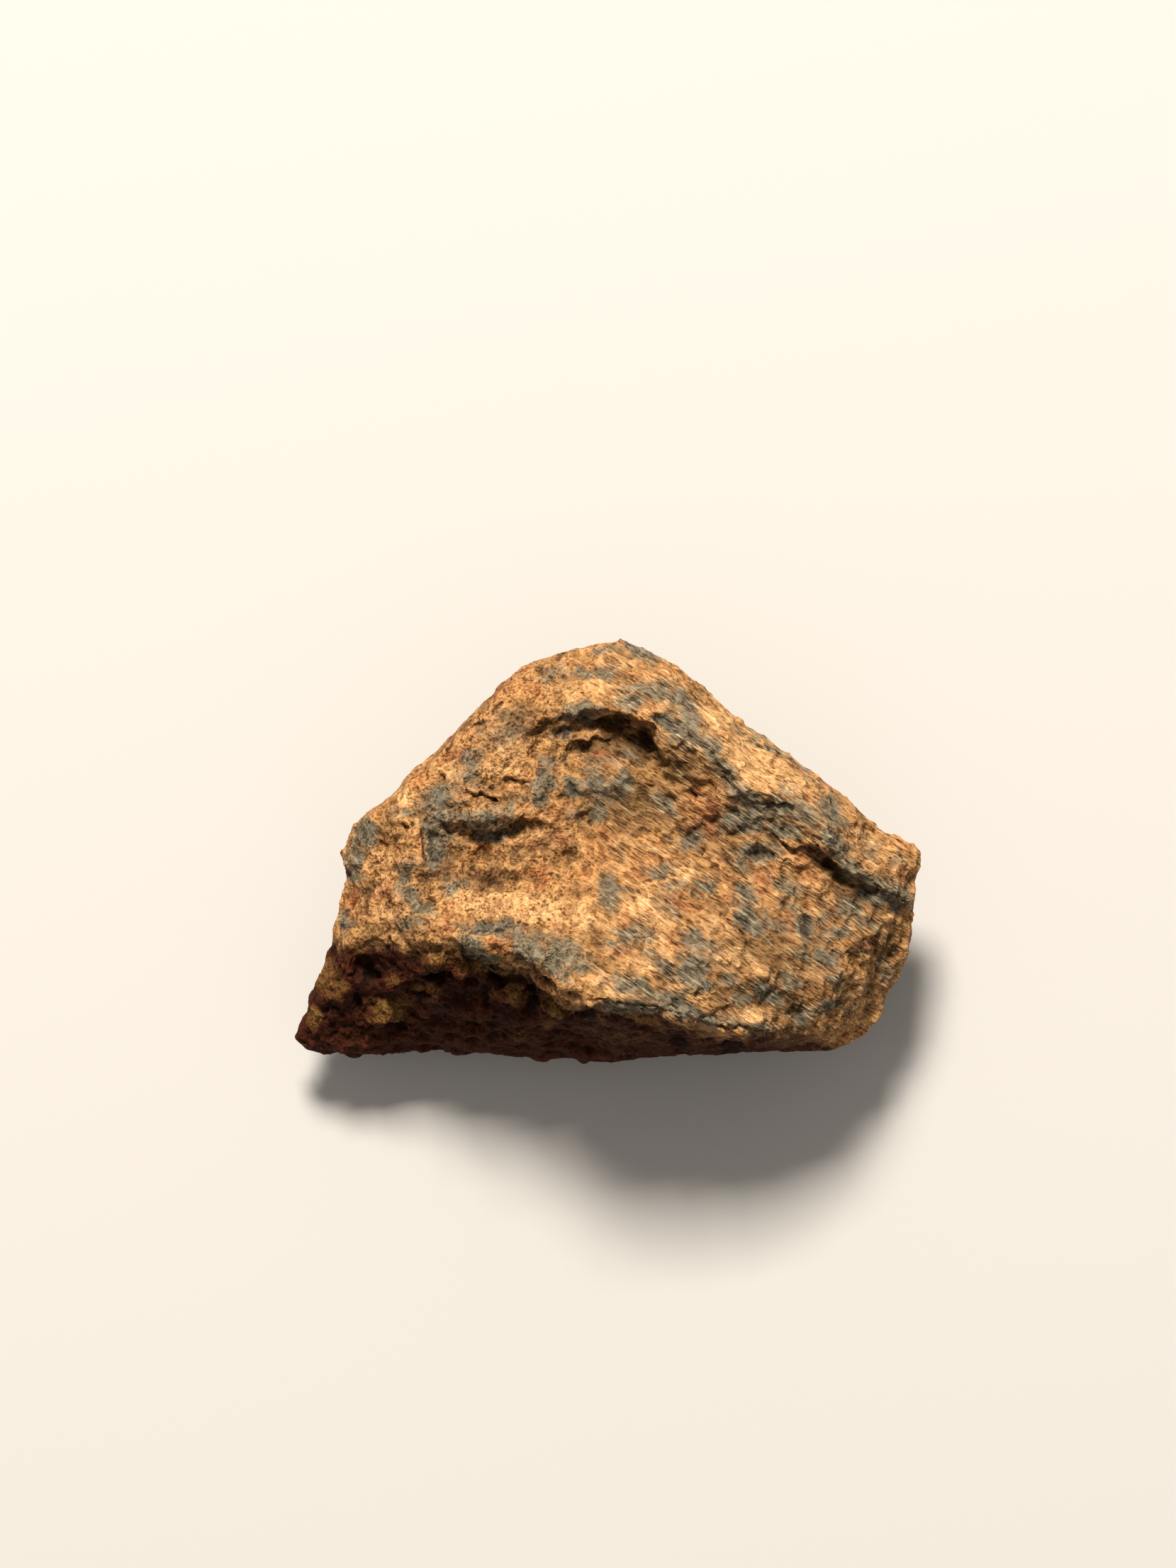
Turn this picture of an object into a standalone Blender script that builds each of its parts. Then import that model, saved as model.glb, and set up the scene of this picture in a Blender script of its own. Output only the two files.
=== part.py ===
"""Iron meteorite: one weathered fragment, a single closed solid at its real size.

Metres, +Z up. The stone lies on its back with its broad broken face up, and
rests on a small flat spot. The origin is at the middle of its box, at the
bottom. Survey points below are (x, y, z) in millimetres: x and y from the
middle of the outline, z up from the flat spot.
"""
import math

import bmesh
import bpy
from mathutils import Vector, noise
from mathutils.geometry import delaunay_2d_cdt

MM = 0.001
INSIDE_RIM = 1

# Driving dimensions, in millimetres
LENGTH = 20.0
WIDTH = 13.4
HEIGHT = 8.8

# Fineness of the working skin (millimetres, smoothing passes) and of the finished solid
SKIN_VOXEL = 0.2
SKIN_SMOOTHING = 5
FINISHED_TRIANGLES = 9600

# Points closer than this, in millimetres, are one point
SAME_POINT = 0.001
SHORTEST_EDGE = 0.01

# Finish: a dull rust-brown oxide skin over iron
SKIN_COLOUR = (0.34, 0.20, 0.105, 1.0)
SKIN_ROUGHNESS = 0.72
SKIN_METALLIC = 0.15

# The widest outline, clockwise from the blunt peak at the top
RIM = [
    (0.6, 6.7, 3.9), (1.9, 6.1, 3.9), (3.15, 5.1, 4.0), (4.2, 4.05, 4.1), (6.1, 2.85, 4.1),
    (8.15, 1.05, 4.1), (9.8, 0.15, 4.2), (9.97, -0.25, 4.2), (9.65, -1.3, 4.0), (9.6, -2.6, 3.7),
    (9.25, -3.9, 3.4), (8.6, -5.2, 3.1), (7.6, -6.05, 2.8), (6.9, -6.3, 2.6), (4.5, -6.42, 2.3),
    (2.0, -6.55, 2.2), (0.4, -6.7, 2.1), (-2.2, -6.55, 2.0), (-5.0, -6.45, 1.9), (-8.3, -6.42, 1.8),
    (-9.45, -6.3, 1.8), (-9.98, -5.8, 2.0), (-9.4, -4.75, 2.3), (-9.0, -3.85, 2.6), (-8.7, -2.8, 2.9),
    (-8.45, -1.4, 3.1), (-8.25, 0.3, 3.4), (-7.85, 1.05, 3.5), (-7.0, 1.65, 3.5), (-5.3, 3.3, 3.5),
    (-3.7, 5.0, 3.5), (-2.6, 5.9, 3.6), (-1.3, 6.3, 3.8),
]

# Edges and creases of the upper face
BEVEL = [
    (-7.35, 0.95, 5.1), (-6.35, 1.85, 5.5), (-5.0, 3.15, 5.8), (-4.2, 3.95, 5.8), (-3.2, 5.05, 5.7),
    (-2.2, 5.65, 5.5), (-0.9, 5.95, 5.4),
]
CREST = [
    (-1.9, 4.1, 6.4), (-0.9, 4.3, 6.7), (0.3, 4.45, 6.9), (1.0, 4.15, 7.0), (1.7, 3.6, 7.2),
    (2.7, 3.6, 7.3), (3.5, 3.0, 7.3), (4.2, 2.1, 7.2), (5.2, 1.7, 7.0), (6.4, 1.1, 6.9),
    (6.95, 0.4, 6.8), (7.4, -0.3, 6.5), (8.2, -0.9, 6.0), (9.3, -1.6, 5.2),
]
PIT_FOOT = [
    (-1.5, 3.7, 6.0), (-0.8, 3.85, 5.7), (0.0, 3.95, 5.4), (0.7, 3.75, 5.2), (1.25, 3.2, 5.4),
]
LEDGE_FOOT = [
    (6.5, 0.0, 6.4), (7.0, -0.5, 5.9), (7.6, -1.0, 5.6), (8.3, -1.4, 5.3), (9.3, -2.05, 4.7),
]
PIT_SILL = [
    (-1.6, 3.1, 6.0), (-0.4, 2.8, 5.9), (0.5, 2.5, 6.0), (1.8, 2.2, 6.3), (3.0, 1.6, 6.5),
]
HOLLOW = [
    (-0.9, 0.6, 5.8), (1.6, 0.6, 6.0), (3.6, 0.3, 6.1), (5.4, -0.3, 6.0), (6.8, -1.0, 5.7),
    (8.2, -1.9, 5.1),
]
LEFT_EDGE = [
    (-6.6, 0.8, 5.8), (-6.1, -0.2, 5.9), (-6.3, -1.2, 5.9), (-6.8, -2.2, 5.7), (-7.0, -2.9, 5.2),
]
BAND_TOP = [
    (-5.3, -0.6, 6.0), (-4.0, -0.75, 5.85), (-2.5, -0.7, 5.8), (-1.2, -0.6, 5.9), (0.0, -0.4, 6.1),
    (1.6, -0.3, 6.3), (3.2, -0.4, 6.4),
]
RIDGE = [
    (-6.0, -2.7, 6.5), (-5.0, -2.75, 7.2), (-4.4, -2.6, 7.7), (-3.6, -2.7, 8.1), (-2.7, -3.0, 8.2),
    (-1.9, -3.6, 8.4), (-1.2, -4.3, 8.4), (-0.5, -4.6, 8.3), (0.6, -4.6, 8.2), (1.8, -4.9, 8.0),
    (2.8, -5.2, 7.6), (4.0, -5.6, 7.1), (5.2, -5.7, 6.5), (6.2, -5.75, 5.9), (7.3, -5.5, 5.3),
]
RIGHT_EDGE = [
    (8.6, -2.2, 5.2), (7.9, -2.6, 5.9), (7.4, -3.4, 6.2), (7.1, -4.3, 6.0),
]
LOWER_FACE = [
    (-6.8, -3.9, 4.6), (-5.4, -4.3, 5.2), (-4.0, -4.2, 5.8), (-2.8, -4.8, 5.6), (-1.4, -5.4, 5.5),
    (0.2, -5.6, 5.5), (1.8, -5.8, 5.3), (3.2, -6.0, 5.0), (4.8, -6.1, 4.7), (6.2, -6.05, 4.4),
]
LOWER_BAND = [
    (-8.4, -6.1, 2.6), (-6.0, -6.0, 3.0), (-3.5, -6.1, 3.2), (-0.5, -6.25, 3.5), (2.0, -6.3, 3.5),
    (4.5, -6.3, 3.4),
]
LEFT_STRIP = [(-8.1, -3.1, 4.9), (-8.3, -4.2, 4.4), (-8.8, -5.2, 3.5)]
GROOVE = [(-7.5, -3.4, 4.5), (-7.8, -4.4, 3.8), (-8.3, -5.3, 3.0)]
UPPER_LINES = [
    BEVEL, CREST, PIT_FOOT, PIT_SILL, LEDGE_FOOT, HOLLOW, LEFT_EDGE, BAND_TOP, RIDGE, RIGHT_EDGE,
    LOWER_FACE, LOWER_BAND, LEFT_STRIP, GROOVE,
]
UPPER_SPOTS = [
    (0.8, 5.8, 5.7), (-0.5, 5.2, 6.3), (2.3, 4.9, 6.4), (-4.4, 2.4, 6.3), (-3.0, 3.4, 6.4),
    (-2.6, 1.9, 6.2), (-4.0, 1.2, 6.4), (-5.4, 1.2, 6.1), (-3.3, 0.2, 5.8), (-5.0, -0.1, 5.9),
    (-1.2, 1.9, 6.0), (-4.6, -1.9, 6.8), (-3.0, -1.8, 6.9), (-1.0, -1.8, 6.9),
    (0.5, -1.6, 6.9), (2.0, -2.2, 7.1), (4.0, -2.4, 6.9), (6.0, -2.6, 6.5), (0.5, -3.2, 7.8),
    (2.4, -3.6, 7.6), (4.4, -4.0, 7.0), (6.0, -4.2, 6.5),
]

# The hidden back: a blunt keel with broken facets, cut off by the flat spot
BACK_BELT = [
    (-8.4, -5.4, 1.0), (-5.2, -5.6, 0.7), (-1.0, -5.9, 0.6), (3.6, -5.6, 0.7), (6.8, -5.0, 1.1),
    (8.3, -3.0, 1.6), (8.5, -0.8, 2.2), (6.6, 1.2, 1.9), (4.0, 3.4, 1.7), (1.4, 5.4, 1.9),
    (-1.4, 5.0, 1.6), (-3.8, 3.4, 1.5), (-5.8, 1.6, 1.6), (-7.2, 0.0, 1.6), (-7.6, -2.4, 1.3),
]
BACK_SPOTS = [
    (-5.2, -3.6, 0.15), (-1.6, -4.6, 0.1), (2.6, -4.4, 0.15), (5.4, -2.8, 0.25), (5.4, -0.6, 0.4),
    (3.2, 1.6, 0.3), (0.4, 2.6, 0.3), (-2.6, 1.6, 0.2), (-5.0, -0.8, 0.15),
    (-3.2, -2.6, -0.2), (0.2, -3.4, -0.25), (3.4, -2.2, -0.2), (2.6, -0.2, -0.2), (-0.4, 0.6, -0.2),
    (-3.0, -0.6, -0.2), (0.0, -1.6, -0.4),
]

# Ledges: the ground to the left of each line stands over the ground to its right
# (points as (x, y), rise on the high side, drop on the low side, reach of both)
LEDGES = [
    ([(-1.95, 4.05), (-1.2, 4.1), (-0.5, 4.2), (0.2, 4.35), (0.8, 4.1), (1.2, 3.7), (1.6, 3.1)],
     0.10, 0.35, 0.7),
    ([(-1.0, 3.35), (-0.6, 3.5), (-0.1, 3.55)], 0.15, 0.25, 0.45),
    ([(6.3, 0.1), (7.0, -0.35), (7.8, -1.0), (8.4, -1.3), (9.4, -1.8)], 0.15, 0.35, 0.7),
    ([(1.7, 4.2), (2.7, 3.8), (3.6, 2.9), (4.4, 2.0), (5.6, 1.4)], 0.12, 0.2, 0.6),
    ([(-4.9, 0.9), (-4.2, 0.6), (-3.5, 0.5), (-2.8, 0.85)], 0.2, 0.25, 0.6),
    ([(-6.0, -2.9), (-5.0, -3.1), (-4.4, -2.95)], 0.1, 0.2, 0.5),
    ([(-4.1, -3.45), (-3.2, -3.6), (-2.5, -3.9), (-1.8, -4.4), (-1.3, -4.9), (-0.6, -4.85)],
     0.15, 0.4, 0.6),
    ([(-0.4, -4.6), (0.3, -4.7), (1.0, -4.9), (1.8, -5.0), (2.4, -5.3), (3.4, -5.6), (4.2, -5.8)],
     0.15, 0.3, 0.5),
    ([(-4.6, 1.95), (-4.1, 1.7), (-3.5, 1.6)], 0.08, 0.2, 0.35),
]

# Half the width over which a ledge turns from rise to drop, in millimetres
LEDGE_EDGE = 0.15

# Lumps (height above zero) and dents (below), as (x, y, half length, half width, turn, height)
LUMPS = [
    (-3.7, -2.85, 0.95, 0.6, -10, 0.35),
    (-1.9, -3.2, 0.9, 0.6, -25, 0.3),
    (0.2, -3.9, 1.0, 0.6, -25, 0.25),
    (2.6, -4.2, 0.9, 0.6, -30, 0.3),
    (-5.2, -2.1, 0.9, 0.5, 15, 0.2),
    (-3.9, 1.1, 1.1, 0.5, 5, 0.25),
    (-6.6, -4.1, 0.7, 0.45, 10, 0.5),
    (-6.9, -5.2, 0.8, 0.4, 5, 0.45),
    (-5.3, -3.4, 0.6, 0.4, -10, 0.45),
    (-5.3, -4.4, 0.6, 0.35, 20, 0.4),
    (-4.4, -3.9, 0.5, 0.4, 10, 0.3),
    (-3.1, -4.4, 0.6, 0.35, -30, 0.45),
    (-1.8, -5.2, 0.6, 0.4, -40, 0.4),
    (-0.2, -5.2, 0.5, 0.25, -30, 0.25),
    (2.6, -5.9, 0.4, 0.35, -60, 0.3),
    (-8.8, -4.2, 0.5, 0.9, 15, 0.2),
    (4.1, 4.2, 0.3, 0.25, 0, 0.25),
    (1.4, 5.0, 0.8, 0.35, -10, 0.15),
    (5.6, -1.2, 0.9, 0.5, -20, 0.15),
    (7.9, -1.9, 0.7, 0.35, -30, 0.2),
    (-7.4, -0.9, 0.9, 0.7, 60, 0.2),
    (1.2, 3.7, 0.45, 0.35, -40, -0.5),
    (0.3, 3.9, 0.6, 0.25, -10, -0.3),
    (-0.5, 0.9, 0.35, 1.1, 0, -0.25),
    (2.9, 0.4, 0.5, 0.4, 0, -0.2),
    (4.8, -0.1, 0.6, 0.3, 10, -0.2),
    (6.3, -2.2, 0.3, 0.35, 0, -0.2),
    (2.5, -3.9, 0.4, 0.3, -30, -0.2),
    (-5.5, 0.4, 0.3, 0.5, 0, -0.25),
    (-7.5, -3.7, 0.4, 0.5, 0, -0.45),
    (-5.2, -3.95, 0.5, 0.2, 0, -0.35),
    (-3.6, -3.95, 0.4, 0.2, -15, -0.45),
    (-2.4, -4.7, 0.25, 0.5, 20, -0.4),
    (4.5, -5.95, 0.6, 0.25, -10, -0.4),
]

# Broad thumbprints round the sides and the back, as (x, y, z, reach, depth)
THUMBPRINTS = [
    (-6.6, -1.8, 1.0, 2.8, 0.5),
    (-3.0, 5.0, 1.9, 2.4, 0.4),
    (5.6, 2.6, 2.2, 2.8, 0.45),
    (8.4, -3.2, 1.9, 2.2, 0.35),
    (2.4, -5.4, 0.8, 2.2, 0.3),
    (-1.4, -5.9, 4.6, 1.9, 0.25),
    (3.4, -6.0, 4.9, 1.5, 0.2),
    (-5.6, -5.1, 3.6, 1.7, 0.3),
    (-3.4, -4.8, 0.6, 2.0, 0.3),
]

# Grain of the broken skin: (wavelength, depth) in millimetres, coarse to fine
SWELLS = [(4.2, 0.22), (1.9, 0.13), (1.0, 0.085), (0.6, 0.03)]

# Knobbly crust with gaps between its lumps: (spacing, depth) in millimetres
KNOBS = [(1.7, 0.24), (0.95, 0.14)]

# The same lumps, in parts of their spacing: bend of their outlines, width of a
# gap, and the level between gap and lump that stays where it was
KNOB_BEND = 0.8
KNOB_GAP = 0.45
KNOB_LEVEL = 0.75

# Where the crust is knobbly: x or y in millimetres, or the upward part of the
# normal, each as (none, full), and how knobbly the left side and the rest are
LOWER_FACE_Y = (-2.2, -3.4)
LOWER_FACE_SLOPE = (0.85, 0.6)
LOWER_FACE_X = (0.5, -2.0)
LEFT_SIDE_X = (-5.8, -7.0)
LEFT_SIDE_KNOBS = 0.6
PLAIN_KNOBS = 0.3

# Grain and lumps sink to this share where the skin stands upright, to keep the outline
CALM_SHARE = 0.5
CALM_SLOPE = (0.05, 0.5)

# Ledges and lumps of the upper face fade out on slopes steeper than these
UPPER_SLOPE = (0.15, 0.5)


def clear_scene():
    """Removes whatever objects the file opened with."""
    for old in list(bpy.data.objects):
        bpy.data.objects.remove(old, do_unlink=True)


def smooth_between(low, high, value):
    """Eases from 0 at low to 1 at high."""
    t = min(max((value - low) / (high - low), 0.0), 1.0)
    return t * t * (3.0 - 2.0 * t)


def add_sheet(mesh, lines, spots):
    """Adds one face of the stone: triangles between the rim, the lines and the spots."""
    points = list(RIM)
    edges = [(i, (i + 1) % len(RIM)) for i in range(len(RIM))]
    for line in lines:
        first = len(points)
        points += line
        edges += [(i, i + 1) for i in range(first, len(points) - 1)]
    points += spots
    flat = [Vector(point[:2]) for point in points]
    places, _, faces, sources, _, _ = delaunay_2d_cdt(flat, edges, [], INSIDE_RIM, SAME_POINT)
    verts = []
    for place, source in zip(places, sources):
        verts.append(mesh.verts.new((place.x, place.y, points[source[0]][2])))
    for face in faces:
        mesh.faces.new([verts[i] for i in face])


def blocked_out():
    """Returns the rough stone: the upper face and the back, joined at the rim."""
    mesh = bmesh.new()
    add_sheet(mesh, UPPER_LINES, UPPER_SPOTS)
    add_sheet(mesh, [BACK_BELT + BACK_BELT[:1]], BACK_SPOTS)
    bmesh.ops.remove_doubles(mesh, verts=mesh.verts, dist=SAME_POINT)
    bmesh.ops.recalc_face_normals(mesh, faces=mesh.faces)
    bmesh.ops.triangulate(mesh, faces=mesh.faces)
    return mesh


def hand_over(mesh, obj):
    """Writes a working mesh, in millimetres, to the object."""
    mesh.to_mesh(obj.data)
    mesh.free()
    obj.data.update()


def take_shape(obj):
    """Returns the object's evaluated shape as a working mesh, and drops its modifiers."""
    graph = bpy.context.evaluated_depsgraph_get()
    mesh = bmesh.new()
    mesh.from_object(obj, graph)
    obj.modifiers.clear()
    return mesh


def oval_weight(point, oval):
    """Returns 1 at the middle of a turned oval, easing to 0 at its edge."""
    x, y, half_length, half_width, turn = oval
    angle = math.radians(turn)
    dx = point.x - x
    dy = point.y - y
    along = (dx * math.cos(angle) + dy * math.sin(angle)) / half_length
    across = (dy * math.cos(angle) - dx * math.sin(angle)) / half_width
    return 1.0 - smooth_between(0.0, 1.0, math.hypot(along, across))


def ledge_shift(point, ledge):
    """Returns the rise on the high side of a ledge, or the drop under it."""
    line, rise, drop, reach = ledge
    nearest = reach
    side = 1.0
    for start, end in zip(line, line[1:]):
        dx = end[0] - start[0]
        dy = end[1] - start[1]
        px = point.x - start[0]
        py = point.y - start[1]
        along = min(max((px * dx + py * dy) / (dx * dx + dy * dy), 0.0), 1.0)
        gap = math.hypot(px - along * dx, py - along * dy)
        if gap < nearest:
            nearest = gap
            side = dx * py - dy * px
    fade = (1.0 - nearest / reach) ** 2 * smooth_between(0.0, LEDGE_EDGE, nearest)
    if side > 0.0:
        return rise * fade
    return -drop * fade


def swell(point):
    """Returns the uneven grain of the whole skin."""
    shift = 0.0
    for order, (wavelength, depth) in enumerate(SWELLS):
        place = point / wavelength + Vector((17.3 * order, -5.1 * order, 9.7))
        shift += depth * noise.noise(place, noise_basis='PERLIN_ORIGINAL')
    return shift


def knobs(point):
    """Returns the height of rounded lumps parted by narrow gaps of uneven depth."""
    shift = 0.0
    for spacing, depth in KNOBS:
        bend = noise.noise_vector(point / (0.8 * spacing)) * KNOB_BEND
        near, second = noise.voronoi(point / spacing + bend)[0][:2]
        lump = smooth_between(0.0, KNOB_GAP, second - near) - KNOB_LEVEL
        uneven = max(0.6 + noise.noise(point / (1.3 * spacing)), 0.0)
        shift += depth * uneven * lump
    return shift


def knob_amount(point, normal):
    """Returns how knobbly the crust is at a place: most on the left of the dark lower face."""
    lower = smooth_between(*LOWER_FACE_Y, point.y) * smooth_between(*LOWER_FACE_X, point.x)
    steep = smooth_between(*LOWER_FACE_SLOPE, normal.z)
    left_side = LEFT_SIDE_KNOBS * smooth_between(*LEFT_SIDE_X, point.x)
    return max(lower * steep, left_side, PLAIN_KNOBS)


def upper_relief(point):
    """Returns the ledges, lumps and pits of the upper face."""
    shift = 0.0
    for ledge in LEDGES:
        shift += ledge_shift(point, ledge)
    for lump in LUMPS:
        shift += lump[5] * oval_weight(point, lump[:5])
    return shift


def relief(point, normal):
    """Returns how far the skin stands out from the rough stone, in millimetres."""
    calm = CALM_SHARE + (1.0 - CALM_SHARE) * smooth_between(*CALM_SLOPE, abs(normal.z))
    shift = calm * (swell(point) + knobs(point) * knob_amount(point, normal))
    shift += smooth_between(*UPPER_SLOPE, normal.z) * upper_relief(point)
    for x, y, z, reach, depth in THUMBPRINTS:
        gap = (point - Vector((x, y, z))).length
        shift -= depth * (1.0 - smooth_between(0.0, reach, gap))
    return shift


def add_relief(mesh):
    """Moves the skin out and in along its normals by the relief."""
    mesh.normal_update()
    moves = [(vert, vert.normal * relief(vert.co, vert.normal)) for vert in mesh.verts]
    for vert, move in moves:
        vert.co += move


def cut_flat_spot(mesh):
    """Cuts the keel off level at z = 0 and closes the cut."""
    whole = list(mesh.verts) + list(mesh.edges) + list(mesh.faces)
    level = {"plane_co": (0.0, 0.0, 0.0), "plane_no": (0.0, 0.0, 1.0)}
    bmesh.ops.bisect_plane(mesh, geom=whole, clear_inner=True, **level)
    open_edges = [edge for edge in mesh.edges if edge.is_boundary]
    bmesh.ops.holes_fill(mesh, edges=open_edges, sides=0)
    bmesh.ops.dissolve_degenerate(mesh, dist=SHORTEST_EDGE, edges=mesh.edges)
    bmesh.ops.triangulate(mesh, faces=mesh.faces)
    bmesh.ops.recalc_face_normals(mesh, faces=mesh.faces)


def fit_to_size(mesh):
    """Scales the stone to its driving dimensions in metres, its box centred on the origin."""
    lows = [min(vert.co[axis] for vert in mesh.verts) for axis in range(3)]
    highs = [max(vert.co[axis] for vert in mesh.verts) for axis in range(3)]
    middle = Vector(((lows[0] + highs[0]) / 2, (lows[1] + highs[1]) / 2, lows[2]))
    spans = [high - low for low, high in zip(lows, highs)]
    factors = [size * MM / span for size, span in zip((LENGTH, WIDTH, HEIGHT), spans)]
    bmesh.ops.translate(mesh, verts=mesh.verts, vec=-middle)
    bmesh.ops.scale(mesh, verts=mesh.verts, vec=factors)


def iron_skin():
    """Weathered iron: a dull brown oxide skin."""
    material = bpy.data.materials.new("weathered iron skin")
    material.use_nodes = True
    shader = material.node_tree.nodes["Principled BSDF"]
    shader.inputs["Base Color"].default_value = SKIN_COLOUR
    shader.inputs["Roughness"].default_value = SKIN_ROUGHNESS
    shader.inputs["Metallic"].default_value = SKIN_METALLIC
    material.diffuse_color = SKIN_COLOUR
    return material


def build_meteorite(collection):
    """Models the stone: blocked out, given an even skin, carved, thinned and cut to size."""
    obj = bpy.data.objects.new("meteorite", bpy.data.meshes.new("meteorite"))
    collection.objects.link(obj)
    hand_over(blocked_out(), obj)

    even_skin = obj.modifiers.new("even skin", 'REMESH')
    even_skin.mode = 'VOXEL'
    even_skin.voxel_size = SKIN_VOXEL
    mesh = take_shape(obj)
    all_axes = {"use_axis_x": True, "use_axis_y": True, "use_axis_z": True}
    for _ in range(SKIN_SMOOTHING):
        bmesh.ops.smooth_vert(mesh, verts=mesh.verts, factor=0.5, **all_axes)
    add_relief(mesh)
    bmesh.ops.triangulate(mesh, faces=mesh.faces)
    count = len(mesh.faces)
    hand_over(mesh, obj)

    thinned = obj.modifiers.new("thinned", 'DECIMATE')
    thinned.ratio = FINISHED_TRIANGLES / count
    mesh = take_shape(obj)
    cut_flat_spot(mesh)
    fit_to_size(mesh)
    hand_over(mesh, obj)
    obj.data.materials.append(iron_skin())
    return obj


def main():
    clear_scene()
    collection = bpy.data.collections.new("iron meteorite")
    bpy.context.scene.collection.children.link(collection)
    build_meteorite(collection)


main()
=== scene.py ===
"""Iron meteorite: the finished look of one small weathered fragment.

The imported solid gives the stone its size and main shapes. Here it gets its fine
broken skin, its cracks, pits and flakes, and its coat of rust and grey crust.
All marks are in millimetres in the stone's own frame: x and y from the middle of
its box, as seen from straight above, and turns in degrees.
"""
import math

import bmesh
import bpy
import numpy as np
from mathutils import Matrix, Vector, noise


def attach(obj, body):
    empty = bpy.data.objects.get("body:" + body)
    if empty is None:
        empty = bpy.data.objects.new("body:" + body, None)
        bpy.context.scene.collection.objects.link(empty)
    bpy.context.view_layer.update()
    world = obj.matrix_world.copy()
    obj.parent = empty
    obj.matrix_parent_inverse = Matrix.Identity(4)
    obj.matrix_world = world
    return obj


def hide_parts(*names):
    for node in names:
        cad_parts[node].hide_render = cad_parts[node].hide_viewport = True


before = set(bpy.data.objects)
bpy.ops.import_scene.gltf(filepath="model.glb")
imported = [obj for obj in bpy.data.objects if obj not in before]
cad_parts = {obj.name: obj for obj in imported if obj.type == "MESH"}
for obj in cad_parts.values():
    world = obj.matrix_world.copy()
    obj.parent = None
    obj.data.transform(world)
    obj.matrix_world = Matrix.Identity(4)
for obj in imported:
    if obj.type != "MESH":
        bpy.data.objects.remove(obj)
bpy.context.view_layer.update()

MM = 0.001

# Points closer than this, in metres, are one point
SAME_POINT = 1e-6

# The working skin: its fineness in millimetres, the passes that wash out the solid's
# facets by shrinking and swelling in turn, and the triangles that it keeps
SKIN_VOXEL = 0.072
FACET_PASSES = 30
FACET_SHRINK = 0.65
FACET_SWELL = -0.68
SKIN_TRIANGLES = 195000

# Shifts the noise of each seed away from that of the others
SEED_SHIFT = (7.3, -3.1, 11.7)

# Flakes of the skin: height in millimetres, steps, half width of a step's edge, and the
# noise that they follow as (share, size, seed)
FLAKE_HEIGHT = 0.2
FLAKE_STEPS = 6.0
FLAKE_EDGE = 0.2
FLAKE_NOISE = [(1.0, 1.3, 1), (0.5, 0.6, 2)]

# Rough grains of the skin: (height, size, seed)
ROUGH_GRAINS = [(0.1, 0.8, 8), (0.1, 0.45, 3), (0.08, 0.27, 4), (0.06, 0.17, 5)]

# Small pocks: (depth, size, seed, from, to)
POCKS = [(0.09, 0.5, 9, 0.12, 0.35), (0.054, 0.3, 10, 0.15, 0.35)]

# Slanting streaks on the right: (height, size, seed, turn), how long they are for their
# width, and how much calmer the rough grains are there
STREAKS = [(0.08, 0.22, 6, -30.0), (0.05, 0.14, 7, -27.0)]
STREAK_STRETCH = (3.0, 1.0, 1.5)
STREAK_CALM = 0.3

# Where the skin is brushed aslant, by x, and how far the skin has to face up, by its
# normal, for that, for the carving, for the grit in full and for the coats seen on top
BRUSHED_FROM = (-2.0, 1.0)
BRUSHED_FACING = (-0.2, 0.4)
CARVED_FACING = (0.02, 0.25)
GRIT_FACING = (0.05, 0.5)
SEEN_FACING = (-0.05, 0.15)

# The share of the grit that is left on the steep rim, so that the outline stays clean
RIM_GRIT = 0.28

# Heights between which the relief fades in above the flat spot that the stone rests on
SOLE_TOP = (0.05, 0.5)

# Drawn lines and ovals stray by this, so that they look broken: (size, reach, seed)
BROAD_STRAY = (0.45, 0.16, 21)
FINE_STRAY = (0.18, 0.08, 23)
COAT_STRAY = (0.5, 0.22, 31)

# The width in millimetres of the turn from a ledge's high side to its low side
LEDGE_LIP = 0.07

# Walls of a crack, and of the painted shade in it, as shares of its half width
CRACK_WALLS = (0.3, 1.6)
SHADED_CRACK_WALLS = (0.4, 1.6)

# Painted shade comes and goes along a crack: (least share, size, seed, from, to)
CRACK_SHADE = (0.35, 0.5, 35, -0.25, 0.15)

# Passes of relaxing that tell fine hollows from broad ones, and the depths in millimetres
# at which each counts in full
HOLLOW_PASSES = (4, 40)
HOLLOW_DEPTHS = (0.05, 0.25)

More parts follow.
